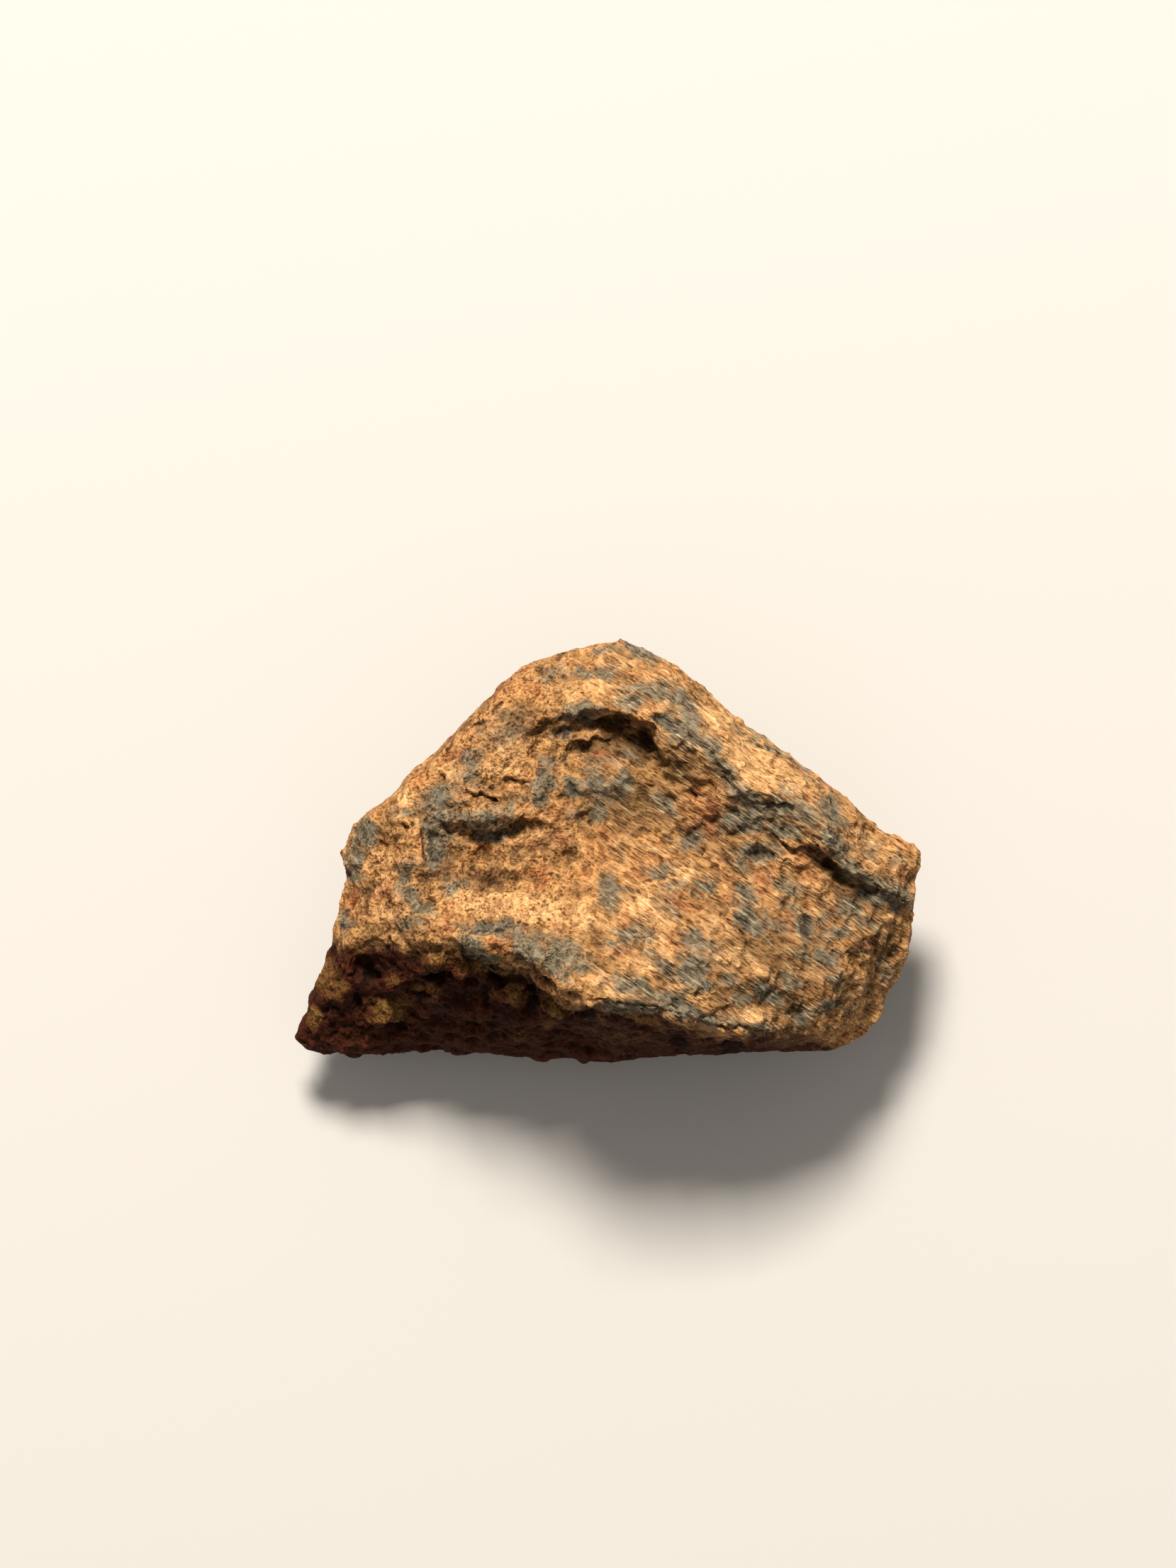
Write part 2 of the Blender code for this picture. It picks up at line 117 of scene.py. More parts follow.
# Ledges: the ground to the left of each line stands over the ground to its right
# (points as (x, y), rise on the high side, drop on the low side, reach of both)
LEDGES = [
    ([(-2.2, 3.9), (-1.95, 4.05), (-1.5, 4.0), (-1.0, 4.1), (-0.55, 4.22), (0.0, 4.3), (0.4, 4.42),
      (0.8, 4.15), (1.1, 3.8), (1.45, 3.5), (1.6, 3.1)], 0.06, 0.26, 0.55),
    ([(-1.0, 3.45), (-0.6, 3.62), (-0.25, 3.75), (0.0, 3.6)], 0.1, 0.28, 0.3),
    ([(1.6, 4.3), (2.6, 3.85), (3.35, 3.15), (3.85, 2.45), (4.4, 1.75), (5.0, 1.5), (5.7, 1.55)],
     0.06, 0.16, 0.4),
    ([(5.6, 0.42), (6.0, 0.17), (6.7, 0.2), (7.1, -0.1), (7.45, -0.55), (8.0, -0.85), (8.6, -1.05),
      (9.5, -1.45)], 0.06, 0.22, 0.6),
    ([(-5.0, 0.85), (-4.3, 0.72), (-3.5, 0.6), (-3.0, 0.72), (-2.75, 1.05)], 0.1, 0.26, 0.4),
    ([(-4.75, -2.8), (-4.4, -3.15), (-3.9, -3.5), (-3.3, -3.55), (-2.85, -3.25), (-2.3, -3.6),
      (-1.75, -4.1), (-1.45, -4.55)], 0.08, 0.4, 0.5),
    ([(-1.3, -5.2), (-0.95, -4.95), (-0.5, -4.85), (-0.1, -5.1)], 0.06, 0.3, 0.4),
    ([(-0.5, -4.5), (0.2, -4.6), (1.0, -4.75), (1.9, -4.85), (2.5, -5.2), (3.3, -5.45), (4.0, -5.5)],
     0.05, 0.25, 0.3),
    ([(0.1, -5.1), (1.0, -5.2), (1.6, -5.6), (2.3, -5.75)], 0.05, 0.3, 0.4),
    ([(3.7, -5.5), (4.15, -5.85), (4.6, -6.15)], 0.08, 0.2, 0.25),
    ([(4.3, -5.5), (4.9, -5.6), (5.5, -5.85)], 0.05, 0.3, 0.3),
    ([(6.1, 3.1), (6.45, 2.45), (6.9, 1.75), (7.05, 1.3)], 0.05, 0.1, 0.25),
    ([(-7.9, -5.45), (-7.3, -5.52), (-6.7, -5.5), (-6.3, -5.4)], 0.08, 0.22, 0.3),
    ([(-6.1, -3.75), (-5.6, -3.75), (-5.0, -3.7)], 0.06, 0.3, 0.3),
    ([(-4.0, -3.62), (-3.5, -3.72), (-3.05, -3.7)], 0.08, 0.25, 0.25),
    ([(0.4, 5.15), (1.1, 5.25), (1.7, 5.05), (2.4, 4.85)], 0.03, 0.06, 0.3),
    ([(-5.75, 1.0), (-5.76, 0.5), (-5.7, -0.2)], 0.04, 0.14, 0.25),
]

# Cracks and slots: (points as (x, y), half width, depth)
CRACKS = [
    ([(-4.5, 1.93), (-4.3, 1.85), (-4.12, 1.68)], 0.07, 0.22),
    ([(-3.98, 1.83), (-3.7, 1.7), (-3.42, 1.66)], 0.08, 0.24),
    ([(-3.22, 2.18), (-2.95, 2.27), (-2.7, 2.18), (-2.48, 2.27)], 0.07, 0.2),
    ([(-2.9, 2.03), (-2.5, 1.98)], 0.04, 0.12),
    ([(-4.2, 1.47), (-4.0, 1.37), (-3.78, 1.34)], 0.03, 0.1),
    ([(4.9, 1.5), (5.25, 1.56), (5.65, 1.54)], 0.04, 0.1),
    ([(-5.05, -2.1), (-4.75, -2.2), (-4.4, -2.4)], 0.04, 0.1),
    ([(-7.5, -0.45), (-7.25, -0.4)], 0.05, 0.12),
    ([(-1.2, 3.25), (-1.25, 2.95), (-1.15, 2.6)], 0.06, 0.15),
    ([(-1.55, 3.3), (-1.5, 3.05), (-1.8, 2.85)], 0.04, 0.1),
    ([(-0.1, 5.85), (0.1, 5.75)], 0.03, 0.08),
    ([(6.2, 3.0), (6.5, 2.4), (6.9, 1.7)], 0.04, 0.08),
    ([(5.6, 0.38), (6.0, 0.12), (6.4, 0.14), (6.75, 0.18)], 0.05, 0.12),
    ([(-5.15, 3.3), (-4.7, 3.6), (-4.2, 4.0), (-3.3, 4.7)], 0.05, 0.08),
    ([(-4.2, -2.58), (-3.8, -2.52), (-3.3, -2.5), (-2.95, -2.58)], 0.05, 0.12),
    ([(-5.76, 0.95), (-5.78, 0.45), (-5.72, -0.25)], 0.05, 0.14),
    ([(4.0, -1.85), (4.3, -2.2), (4.5, -2.45)], 0.05, 0.1),
    ([(2.65, 2.05), (2.75, 1.95), (2.85, 1.75)], 0.06, 0.14),
    ([(3.1, 1.4), (3.3, 1.15)], 0.03, 0.08),
    ([(-3.85, -4.15), (-3.88, -4.6), (-3.8, -5.0)], 0.08, 0.2),
    ([(-2.7, -3.28), (-2.35, -3.55), (-1.9, -4.0), (-1.65, -4.15)], 0.06, 0.16),
    ([(-5.9, 2.25), (-5.72, 2.15)], 0.05, 0.12),
    ([(-6.45, 0.85), (-6.35, 0.7)], 0.05, 0.12),
    ([(-4.0, -0.82), (-3.2, -0.85), (-2.4, -0.78), (-1.5, -0.76)], 0.05, 0.08),
    ([(3.1, -0.95), (3.25, -1.1)], 0.05, 0.1),
]

# Pits and holes: (x, y, half length, half width, turn, depth)
PITS = [
    (1.2, 3.55, 0.5, 0.3, -45, 0.2),
    (0.5, 4.15, 0.4, 0.18, -25, 0.2),
    (-0.2, 4.1, 0.35, 0.12, 10, 0.2),
    (-0.6, 3.38, 0.4, 0.16, 25, 0.25),
    (-1.5, 3.75, 0.22, 0.2, 0, 0.2),
    (1.05, 2.9, 0.3, 0.22, 0, 0.15),
    (-0.7, 4.35, 0.18, 0.1, 0, 0.12),
    (4.05, 4.08, 0.2, 0.08, 10, 0.12),
    (-3.95, 0.05, 0.12, 0.12, 0, 0.12),
    (6.9, -0.4, 0.55, 0.22, -22, 0.18),
    (7.4, -0.85, 0.4, 0.2, -30, 0.2),
    (7.7, -1.12, 0.2, 0.1, 0, 0.12),
    (-5.6, -1.62, 0.22, 0.1, -15, 0.12),
    (-3.4, -4.0, 0.42, 0.28, -20, 0.4),
    (-2.3, -4.3, 0.3, 0.25, -40, 0.3),
    (-2.4, -4.85, 0.18, 0.3, 0, 0.35),
    (-0.65, -5.1, 0.45, 0.18, 0, 0.3),
    (2.25, -6.05, 0.42, 0.3, -30, 0.35),
    (3.95, -6.2, 0.5, 0.25, 0, 0.35),
    (4.85, -5.8, 0.5, 0.2, -15, 0.35),
    (-5.5, -3.92, 0.5, 0.14, 0, 0.3),
    (-5.85, -4.62, 0.25, 0.18, 0, 0.25),
    (-6.7, -5.62, 0.4, 0.14, 0, 0.25),
    (-7.5, -3.85, 0.28, 0.45, 0, 0.4),
    (-7.88, -4.75, 0.18, 0.35, 0, 0.3),
    (-6.9, -2.92, 0.14, 0.28, 0, 0.25),
    (-6.15, -3.2, 0.22, 0.28, 20, 0.25),
    (-8.35, -3.7, 0.13, 0.3, 0, 0.2),
    (-8.8, -5.0, 0.35, 0.25, 40, 0.25),
    (-1.9, 2.2, 0.2, 0.25, 0, 0.1),
    (-1.1, 2.05, 0.25, 0.2, 0, 0.1),
    (-0.4, 2.2, 0.2, 0.25, 0, 0.1),
    (-0.9, 1.1, 0.2, 0.15, 0, 0.1),
    (6.25, -2.3, 0.15, 0.25, 0, 0.1),
    (5.1, -4.5, 0.3, 0.2, -30, 0.1),
    (7.0, -4.8, 0.2, 0.25, 0, 0.1),
    (6.1, -5.2, 0.18, 0.3, 0, 0.15),
    (2.6, 0.4, 0.3, 0.25, 0, 0.12),
    (4.75, -0.08, 0.4, 0.18, 10, 0.12),
]

# Small lumps and lips: (x, y, half length, half width, turn, height)
LUMPS = [
    (-4.1, 4.5, 0.25, 0.12, 40, 0.08),
    (4.15, 4.22, 0.28, 0.18, 10, 0.14),
    (2.85, 5.5, 0.25, 0.1, -45, 0.14),
    (-0.65, 3.62, 0.45, 0.1, 25, 0.12),
    (-1.9, 3.4, 0.3, 0.25, 0, 0.12),
    (-3.65, -2.55, 0.95, 0.14, 2, 0.08),
    (-4.2, -2.95, 0.4, 0.16, -50, 0.08),
    (-2.85, -2.9, 0.16, 0.35, 0, 0.06),
    (-3.5, -3.42, 0.55, 0.12, -5, 0.08),
    (-3.55, -2.92, 0.5, 0.28, 0, -0.06),
    (-3.55, -3.68, 0.4, 0.1, 0, 0.1),
    (5.95, -0.15, 0.55, 0.4, -30, 0.12),
    (-2.95, -4.5, 0.4, 0.32, -20, 0.15),
    (-1.6, -4.95, 0.45, 0.35, -40, 0.15),
    (-5.4, -3.4, 0.45, 0.3, 0, 0.12),
    (-6.0, -4.3, 0.3, 0.25, 0, 0.12),
    (-5.45, -4.3, 0.25, 0.22, 0, 0.1),
    (-6.9, -4.95, 0.7, 0.45, 10, 0.12),
    (1.1, -5.3, 0.9, 0.18, -18, 0.1),
    (4.2, -5.8, 0.5, 0.1, -38, 0.12),
    (-3.9, 1.15, 1.0, 0.4, 5, 0.08),
    (3.2, 3.4, 1.0, 0.14, -48, 0.05),
    (5.8, 1.25, 0.9, 0.2, -5, 0.06),
    (7.2, 1.0, 0.3, 0.7, 15, 0.05),
]

# Grey crust: (x, y, half length, half width, turn, strength)
SLATE = [
    (1.1, 6.4, 0.5, 0.22, -25, 0.9), (0.0, 6.4, 0.5, 0.15, 10, 0.6), (-0.1, 5.6, 0.3, 0.25, 0, 0.7),
    (-0.8, 5.7, 0.25, 0.2, 0, 0.7), (-1.6, 5.6, 0.6, 0.3, 15, 0.45), (1.4, 5.1, 0.75, 0.25, -8, 0.95),
    (2.35, 4.8, 0.5, 0.3, -20, 0.75), (2.6, 4.3, 0.3, 0.55, 0, 0.85), (0.7, 4.75, 0.5, 0.25, 0, 0.75),
    (-0.85, 4.4, 0.55, 0.28, -10, 0.95), (1.9, 4.15, 0.5, 0.3, -20, 0.75), (2.5, 3.75, 0.6, 0.4, -35, 0.9),
    (3.2, 3.3, 0.7, 0.28, -48, 0.9), (3.75, 2.6, 0.65, 0.22, -55, 0.85), (4.4, 1.75, 0.7, 0.28, -40, 0.85),
    (5.4, 1.35, 0.9, 0.28, -5, 0.8), (5.2, 3.3, 1.1, 0.14, -30, 0.6), (6.4, 2.6, 0.6, 0.1, -60, 0.6),
    (5.75, 1.95, 0.4, 0.15, -15, 0.45), (6.3, 1.2, 0.5, 0.3, -30, 0.75), (7.05, 1.3, 0.35, 0.6, 20, 0.8),
    (7.2, 0.3, 0.3, 0.7, 25, 0.75), (7.6, -0.5, 0.4, 0.3, -40, 0.8), (8.4, -0.95, 0.6, 0.2, -20, 0.8),
    (9.1, -1.35, 0.6, 0.35, -20, 1.0), (8.3, -1.35, 0.5, 0.25, -25, 0.85), (8.3, 0.0, 0.3, 0.2, 0, 0.5),
    (9.15, -0.2, 0.3, 0.25, 0, 0.5), (4.3, 1.05, 0.65, 0.4, 0, 0.85), (5.4, 0.75, 0.8, 0.25, -10, 0.7),
    (4.8, -0.05, 0.6, 0.3, 5, 0.9), (4.3, -0.45, 0.3, 0.2, 0, 0.6), (2.6, 0.4, 0.35, 0.3, 0, 0.7),
    (1.8, 1.6, 0.35, 0.25, 0, 0.65), (2.1, 1.25, 0.3, 0.2, 0, 0.5), (0.5, 2.2, 0.3, 0.4, 0, 0.8),
    (-0.4, 2.2, 0.3, 0.4, 0, 0.8), (-0.3, 1.35, 0.3, 0.4, 0, 0.6), (0.1, 1.9, 0.25, 0.5, 0, 0.5),
    (-2.0, 2.25, 0.35, 0.3, 0, 0.9), (-2.2, 1.7, 0.3, 0.3, 0, 0.85), (-1.1, 2.05, 0.35, 0.25, 0, 0.8),
    (-1.9, 2.8, 0.35, 0.3, 0, 0.6), (-1.45, 3.75, 0.25, 0.25, 0, 0.7), (-0.4, 2.8, 0.4, 0.3, 0, 0.5),
    (0.8, 3.1, 0.4, 0.3, 0, 0.4), (-1.0, 1.1, 0.3, 0.2, 0, 0.5),
    (-3.2, 3.8, 0.7, 0.45, 20, 0.4), (-3.4, 4.3, 0.5, 0.3, 40, 0.3), (-4.0, 3.8, 0.45, 0.2, 45, 0.4),
    (-4.3, 2.95, 0.35, 0.4, 0, 0.65), (-4.3, 2.3, 0.5, 0.3, -20, 0.6), (-5.3, 1.7, 0.6, 0.4, 10, 0.7),
    (-5.2, 1.1, 0.6, 0.4, 0, 0.65), (-5.45, 0.4, 0.35, 0.8, 0, 0.9), (-5.2, 0.6, 0.5, 0.3, 0, 0.5),
    (-3.9, 1.0, 1.0, 0.35, 5, 0.7), (-3.2, 1.4, 0.6, 0.25, 20, 0.5), (-3.5, 0.55, 0.6, 0.18, 5, 0.9),
    (-6.3, 1.2, 0.4, 0.2, 0, 0.5), (-7.7, 0.55, 0.35, 0.5, 20, 0.85), (-8.0, -0.2, 0.25, 0.6, 0, 0.8),
    (-8.0, -0.8, 0.3, 0.2, 0, 0.7), (-6.4, -0.7, 0.25, 0.5, -10, 0.8), (-6.2, -1.4, 0.25, 0.4, 0, 0.6),
    (-5.8, -1.75, 0.4, 0.2, -20, 0.8), (-4.8, -1.1, 0.35, 0.2, 0, 0.7), (-6.2, -2.2, 0.5, 0.3, 0, 0.5),
    (-8.3, -2.2, 0.2, 0.3, 0, 0.8),
    (-4.35, -2.9, 0.35, 0.3, -40, 1.0), (-3.6, -2.4, 0.9, 0.2, 0, 0.85), (-2.75, -2.7, 0.25, 0.4, 0, 0.85),
    (-4.0, -3.2, 0.45, 0.2, -30, 0.95), (-2.4, -3.1, 0.5, 0.4, -30, 0.9), (-1.5, -3.1, 0.6, 0.5, 0, 0.75),
    (-1.7, -3.6, 0.6, 0.25, -30, 0.85), (-0.9, -3.5, 0.5, 0.3, 0, 0.6), (-2.0, -2.6, 0.6, 0.2, 0, 0.5),
    (0.0, -1.35, 0.3, 0.6, 0, 0.75), (0.25, -1.1, 0.35, 0.2, 0, 0.6), (1.6, -0.6, 0.45, 0.25, 0, 0.7),
    (0.75, -2.6, 0.4, 0.35, 0, 0.75), (0.2, -2.85, 0.3, 0.2, 0, 0.6), (1.25, -2.6, 0.25, 0.2, 0, 0.6),
    (-1.3, -2.9, 0.3, 0.2, 0, 0.5), (3.15, -1.0, 0.35, 0.2, -15, 0.8), (2.0, -1.2, 0.35, 0.3, 0, 0.5),
    (2.3, -0.95, 0.3, 0.15, 0, 0.5), (1.9, -1.75, 0.35, 0.25, 0, 0.45),
    (4.4, -1.25, 0.35, 0.3, -40, 0.75), (4.5, -2.1, 0.6, 0.28, -45, 0.85), (5.2, -2.2, 0.5, 0.25, -20, 0.55),
    (6.2, -2.3, 0.25, 0.4, 10, 0.85), (5.7, -1.05, 0.5, 0.25, -20, 0.7), (5.8, -1.7, 0.5, 0.2, -30, 0.5),
    (6.8, -2.0, 0.2, 0.4, 0, 0.5), (7.3, -2.5, 0.4, 0.2, 20, 0.8), (7.7, -1.7, 0.4, 0.3, 0, 0.7),
    (8.2, -2.2, 0.4, 0.2, 0, 0.6), (6.9, -3.3, 0.4, 0.3, 0, 0.85), (6.2, -3.2, 0.3, 0.2, -30, 0.6),
    (2.8, -2.7, 0.5, 0.3, -25, 0.7), (2.7, -3.7, 0.45, 0.55, -30, 1.0), (3.0, -4.1, 0.3, 0.2, -20, 0.8),
    (1.9, -3.6, 0.5, 0.3, -30, 0.6), (1.5, -3.2, 0.4, 0.2, -30, 0.5), (0.8, -4.2, 0.8, 0.3, -15, 0.7),
    (1.4, -4.4, 0.7, 0.25, -20, 0.7), (3.85, -3.95, 0.35, 0.25, 0, 0.6), (3.3, -3.3, 0.4, 0.2, -40, 0.4),
    (5.1, -4.5, 0.45, 0.3, -15, 0.9), (4.3, -4.6, 0.3, 0.25, 0, 0.5), (5.8, -4.1, 0.4, 0.25, -30, 0.6),
    (7.2, -4.0, 0.25, 0.3, 0, 0.7), (7.1, -4.8, 0.3, 0.25, 0, 0.7), (6.1, -5.2, 0.25, 0.4, 0, 0.8),
    (6.5, -5.0, 0.4, 0.2, 0, 0.5), (8.9, -3.9, 0.3, 0.6, 15, 0.5), (8.3, -4.4, 0.4, 0.3, 0, 0.4),
    (2.2, -4.8, 0.7, 0.28, -30, 0.95), (3.0, -5.2, 0.6, 0.22, -25, 0.95), (0.9, -4.85, 1.0, 0.18, -4, 0.9),
    (4.0, -5.35, 0.6, 0.18, -20, 0.7), (4.9, -5.5, 0.6, 0.15, -10, 0.6), (-0.55, -4.95, 0.5, 0.15, 0, 0.6),
]

# Painted shade, near black, in pits, holes, cracks and under ledges: (x, y, half length, half width, turn,
# strength)
DEEP_SHADE = [
    (1.2, 3.6, 0.55, 0.3, -45, 1.0), (0.55, 4.2, 0.45, 0.16, -20, 0.95), (-0.2, 4.12, 0.45, 0.12, 8, 0.8),
    (-0.6, 3.35, 0.5, 0.16, 22, 0.85), (-1.5, 3.75, 0.22, 0.2, 0, 0.7), (1.05, 2.95, 0.4, 0.25, -20, 0.6),
    (0.4, 3.8, 0.5, 0.25, -15, 0.5), (-1.2, 3.0, 0.12, 0.4, 0, 0.5), (-0.7, 4.33, 0.15, 0.08, 0, 0.8),
    (2.3, 3.1, 0.6, 0.3, -30, 0.45), (2.0, 2.8, 0.4, 0.25, 0, 0.4), (3.4, 2.8, 0.3, 0.12, -50, 0.5),
    (4.0, 4.08, 0.2, 0.07, 10, 0.6), (-3.5, 0.6, 0.6, 0.1, 5, 0.5), (-5.6, 0.5, 0.14, 0.5, 0, 0.6),
    (-5.35, 0.1, 0.3, 0.3, 0, 0.4), (-8.0, 0.2, 0.2, 0.5, 0, 0.5), (-8.25, -1.4, 0.2, 0.14, 0, 0.8),
    (-8.3, -2.3, 0.25, 0.14, 0, 0.9), (-5.6, -1.62, 0.24, 0.1, -15, 0.7), (-6.1, -0.75, 0.1, 0.3, -20, 0.5),
    (6.95, -0.42, 0.6, 0.24, -22, 1.0), (7.4, -0.85, 0.45, 0.2, -30, 0.95), (7.65, -1.12, 0.22, 0.1, 0, 0.9),
    (8.0, -1.05, 0.5, 0.14, -20, 0.7), (8.8, -1.3, 0.5, 0.12, -20, 0.6), (9.25, -1.6, 0.2, 0.15, 0, 0.6),
    (2.75, 1.95, 0.2, 0.2, -60, 0.7), (-1.1, 2.05, 0.25, 0.16, 0, 0.5), (-2.0, 2.25, 0.25, 0.15, 0, 0.5),
    (4.9, -0.08, 0.3, 0.12, 10, 0.4), (2.65, 0.45, 0.2, 0.15, 0, 0.4), (4.3, -2.15, 0.4, 0.1, -50, 0.5),
    (2.6, -3.8, 0.35, 0.2, -30, 0.35), (2.9, -4.1, 0.3, 0.12, -20, 0.4), (5.15, -4.5, 0.3, 0.15, 0, 0.45),
    (6.25, -2.35, 0.12, 0.25, 0, 0.45), (8.2, -2.2, 0.3, 0.12, 0, 0.4), (6.05, -5.25, 0.2, 0.4, 0, 0.6),
    (7.05, -4.75, 0.15, 0.25, 0, 0.4), (1.0, -4.85, 0.9, 0.12, -4, 0.55), (2.7, -5.35, 0.5, 0.14, -25, 0.6),
    (-3.4, -4.0, 0.45, 0.28, -20, 1.0), (-2.3, -4.3, 0.35, 0.25, -40, 0.9), (-2.4, -4.85, 0.2, 0.32, 0, 1.0),
    (-0.65, -5.1, 0.5, 0.2, 0, 0.9), (-1.3, -5.3, 0.3, 0.15, 0, 0.7), (2.3, -6.0, 0.45, 0.32, -30, 1.0),
    (3.95, -6.2, 0.55, 0.28, 0, 1.0), (4.85, -5.78, 0.5, 0.2, -15, 1.0), (-5.5, -3.92, 0.5, 0.14, 0, 0.95),
    (-5.85, -4.65, 0.25, 0.18, 0, 0.95), (-6.7, -5.62, 0.45, 0.14, 0, 0.9), (-7.5, -3.85, 0.3, 0.5, 0, 1.0),
    (-7.88, -4.75, 0.2, 0.4, 0, 1.0), (-6.9, -2.92, 0.14, 0.28, 0, 0.9), (-6.15, -3.2, 0.24, 0.28, 20, 0.9),
    (-8.35, -3.7, 0.13, 0.3, 0, 0.8), (-8.8, -5.0, 0.4, 0.28, 40, 0.8), (-9.3, -6.2, 0.3, 0.14, 20, 0.9),
    (-4.6, -4.4, 0.5, 0.4, 0, 0.5), (-5.0, -4.9, 0.8, 0.3, 0, 0.6), (-3.2, -5.4, 0.7, 0.25, 0, 0.7),
    (-7.4, -3.2, 0.3, 0.3, 0, 0.6), (-2.0, -4.0, 0.5, 0.14, -40, 0.7), (1.5, -5.75, 0.6, 0.2, -20, 0.5),
]

# Reddish rust: (x, y, half length, half width, turn, strength)
RED_RUST = [
    (-0.3, 3.1, 0.3, 0.25, 0, 1.0), (3.2, 1.2, 0.5, 0.9, 0, 0.75), (2.8, 1.9, 0.3, 0.3, 0, 0.9),
    (-1.5, 0.4, 0.7, 0.35, 0, 0.7), (-2.2, 0.3, 0.5, 0.3, 0, 0.5), (0.0, 0.0, 1.0, 0.4, 0, 0.35),
    (-7.0, -1.3, 0.7, 0.5, 40, 0.55), (-5.2, -2.3, 0.8, 0.4, -10, 0.4), (-8.1, -1.6, 0.25, 0.6, 0, 0.6),
    (2.4, -1.7, 1.2, 0.35, -15, 0.5), (5.5, -2.2, 0.8, 0.3, -20, 0.45), (7.1, 0.0, 0.4, 0.15, 0, 0.6),
    (3.6, -1.5, 0.6, 0.3, 0, 0.4), (6.9, -3.9, 0.4, 0.5, 0, 0.4), (8.4, -2.9, 0.6, 0.4, 0, 0.5),
    (7.0, 2.2, 0.5, 0.3, -40, 0.5), (8.6, 0.9, 0.5, 0.2, -30, 0.5), (-5.0, 3.0, 0.5, 0.3, 30, 0.3),
    (-3.55, -2.9, 0.4, 0.25, 0, 0.5), (-6.6, -3.5, 0.5, 0.3, 0, 0.7), (-5.4, -3.4, 0.5, 0.3, 0, 0.4),
    (-3.9, 0.2, 0.5, 0.2, -10, 0.6), (-1.3, 1.5, 0.6, 0.3, 0, 0.4), (-5.0, 3.9, 1.2, 0.18, 40, 0.6),
    (-3.2, 5.3, 1.0, 0.18, 42, 0.6), (0.4, 3.0, 0.6, 0.2, 0, 0.5), (8.7, -0.5, 0.5, 0.2, -20, 0.3),
]

# Pale tan and cream: (x, y, half length, half width, turn, strength)
CREAM = [
    (4.7, 2.8, 1.3, 0.8, -40, 0.9), (5.9, 2.2, 0.8, 0.5, -30, 0.6), (3.4, 4.3, 0.7, 0.5, -20, 0.8),
    (-1.8, 0.45, 1.0, 0.35, 0, 0.6), (-3.9, 1.35, 0.8, 0.25, 0, 0.5), (-3.2, 3.4, 0.8, 0.3, 0, 0.4),
    (-7.2, -0.2, 0.7, 0.4, 0, 0.4), (8.0, -4.6, 0.4, 0.8, 10, 0.5), (-2.8, -1.7, 2.4, 0.45, -4, 1.0),
    (-4.4, -1.5, 0.8, 0.4, -30, 0.8), (-0.9, -2.0, 1.0, 0.4, -5, 0.8),
    (1.0, -1.6, 0.9, 0.4, -10, 0.6), (2.4, -0.65, 0.5, 0.25, 0, 0.9), (1.2, -2.1, 0.9, 0.35, -10, 0.6),
    (0.0, 5.2, 0.9, 0.4, 0, 0.6), (-0.8, 5.1, 0.7, 0.35, 10, 0.6), (0.6, 6.0, 0.5, 0.3, 0, 0.4),
    (-3.4, 2.6, 0.9, 0.35, 0, 0.6), (-4.9, 2.5, 0.6, 0.35, 20, 0.5), (-6.3, 1.7, 0.4, 0.35, 45, 0.7),
    (-2.9, 3.0, 0.5, 0.3, 0, 0.5), (8.4, 0.1, 0.9, 0.35, -25, 0.6), (7.9, 0.6, 0.6, 0.3, -30, 0.5),
    (0.0, -4.2, 0.8, 0.3, -15, 0.7), (1.2, -3.6, 0.8, 0.3, -25, 0.5), (4.0, -3.3, 0.8, 0.5, -30, 0.6),
    (3.0, -4.6, 0.7, 0.25, -25, 0.7), (4.6, -5.1, 0.9, 0.25, -20, 0.7), (4.8, -3.7, 0.9, 0.3, -30, 0.5),
    (6.0, -3.9, 0.6, 0.3, -30, 0.3), (3.6, -2.4, 0.7, 0.3, -20, 0.5), (1.6, -2.9, 0.7, 0.3, -10, 0.5),
    (-3.5, -3.68, 0.45, 0.09, 0, 1.0), (-7.0, -1.0, 0.5, 0.4, 30, 0.6), (-7.1, -1.9, 0.4, 0.3, 0, 0.5),
    (-3.0, -0.3, 1.0, 0.3, 0, 0.3), (6.4, -1.2, 0.8, 0.3, -25, 0.4), (-7.9, -2.6, 0.4, 0.2, 0, 0.6),
    (-6.6, -1.2, 0.3, 0.3, 0, 0.5), (7.5, -3.9, 0.25, 0.4, 0, 0.4), (5.9, -0.3, 0.6, 0.25, -30, 0.4),
]

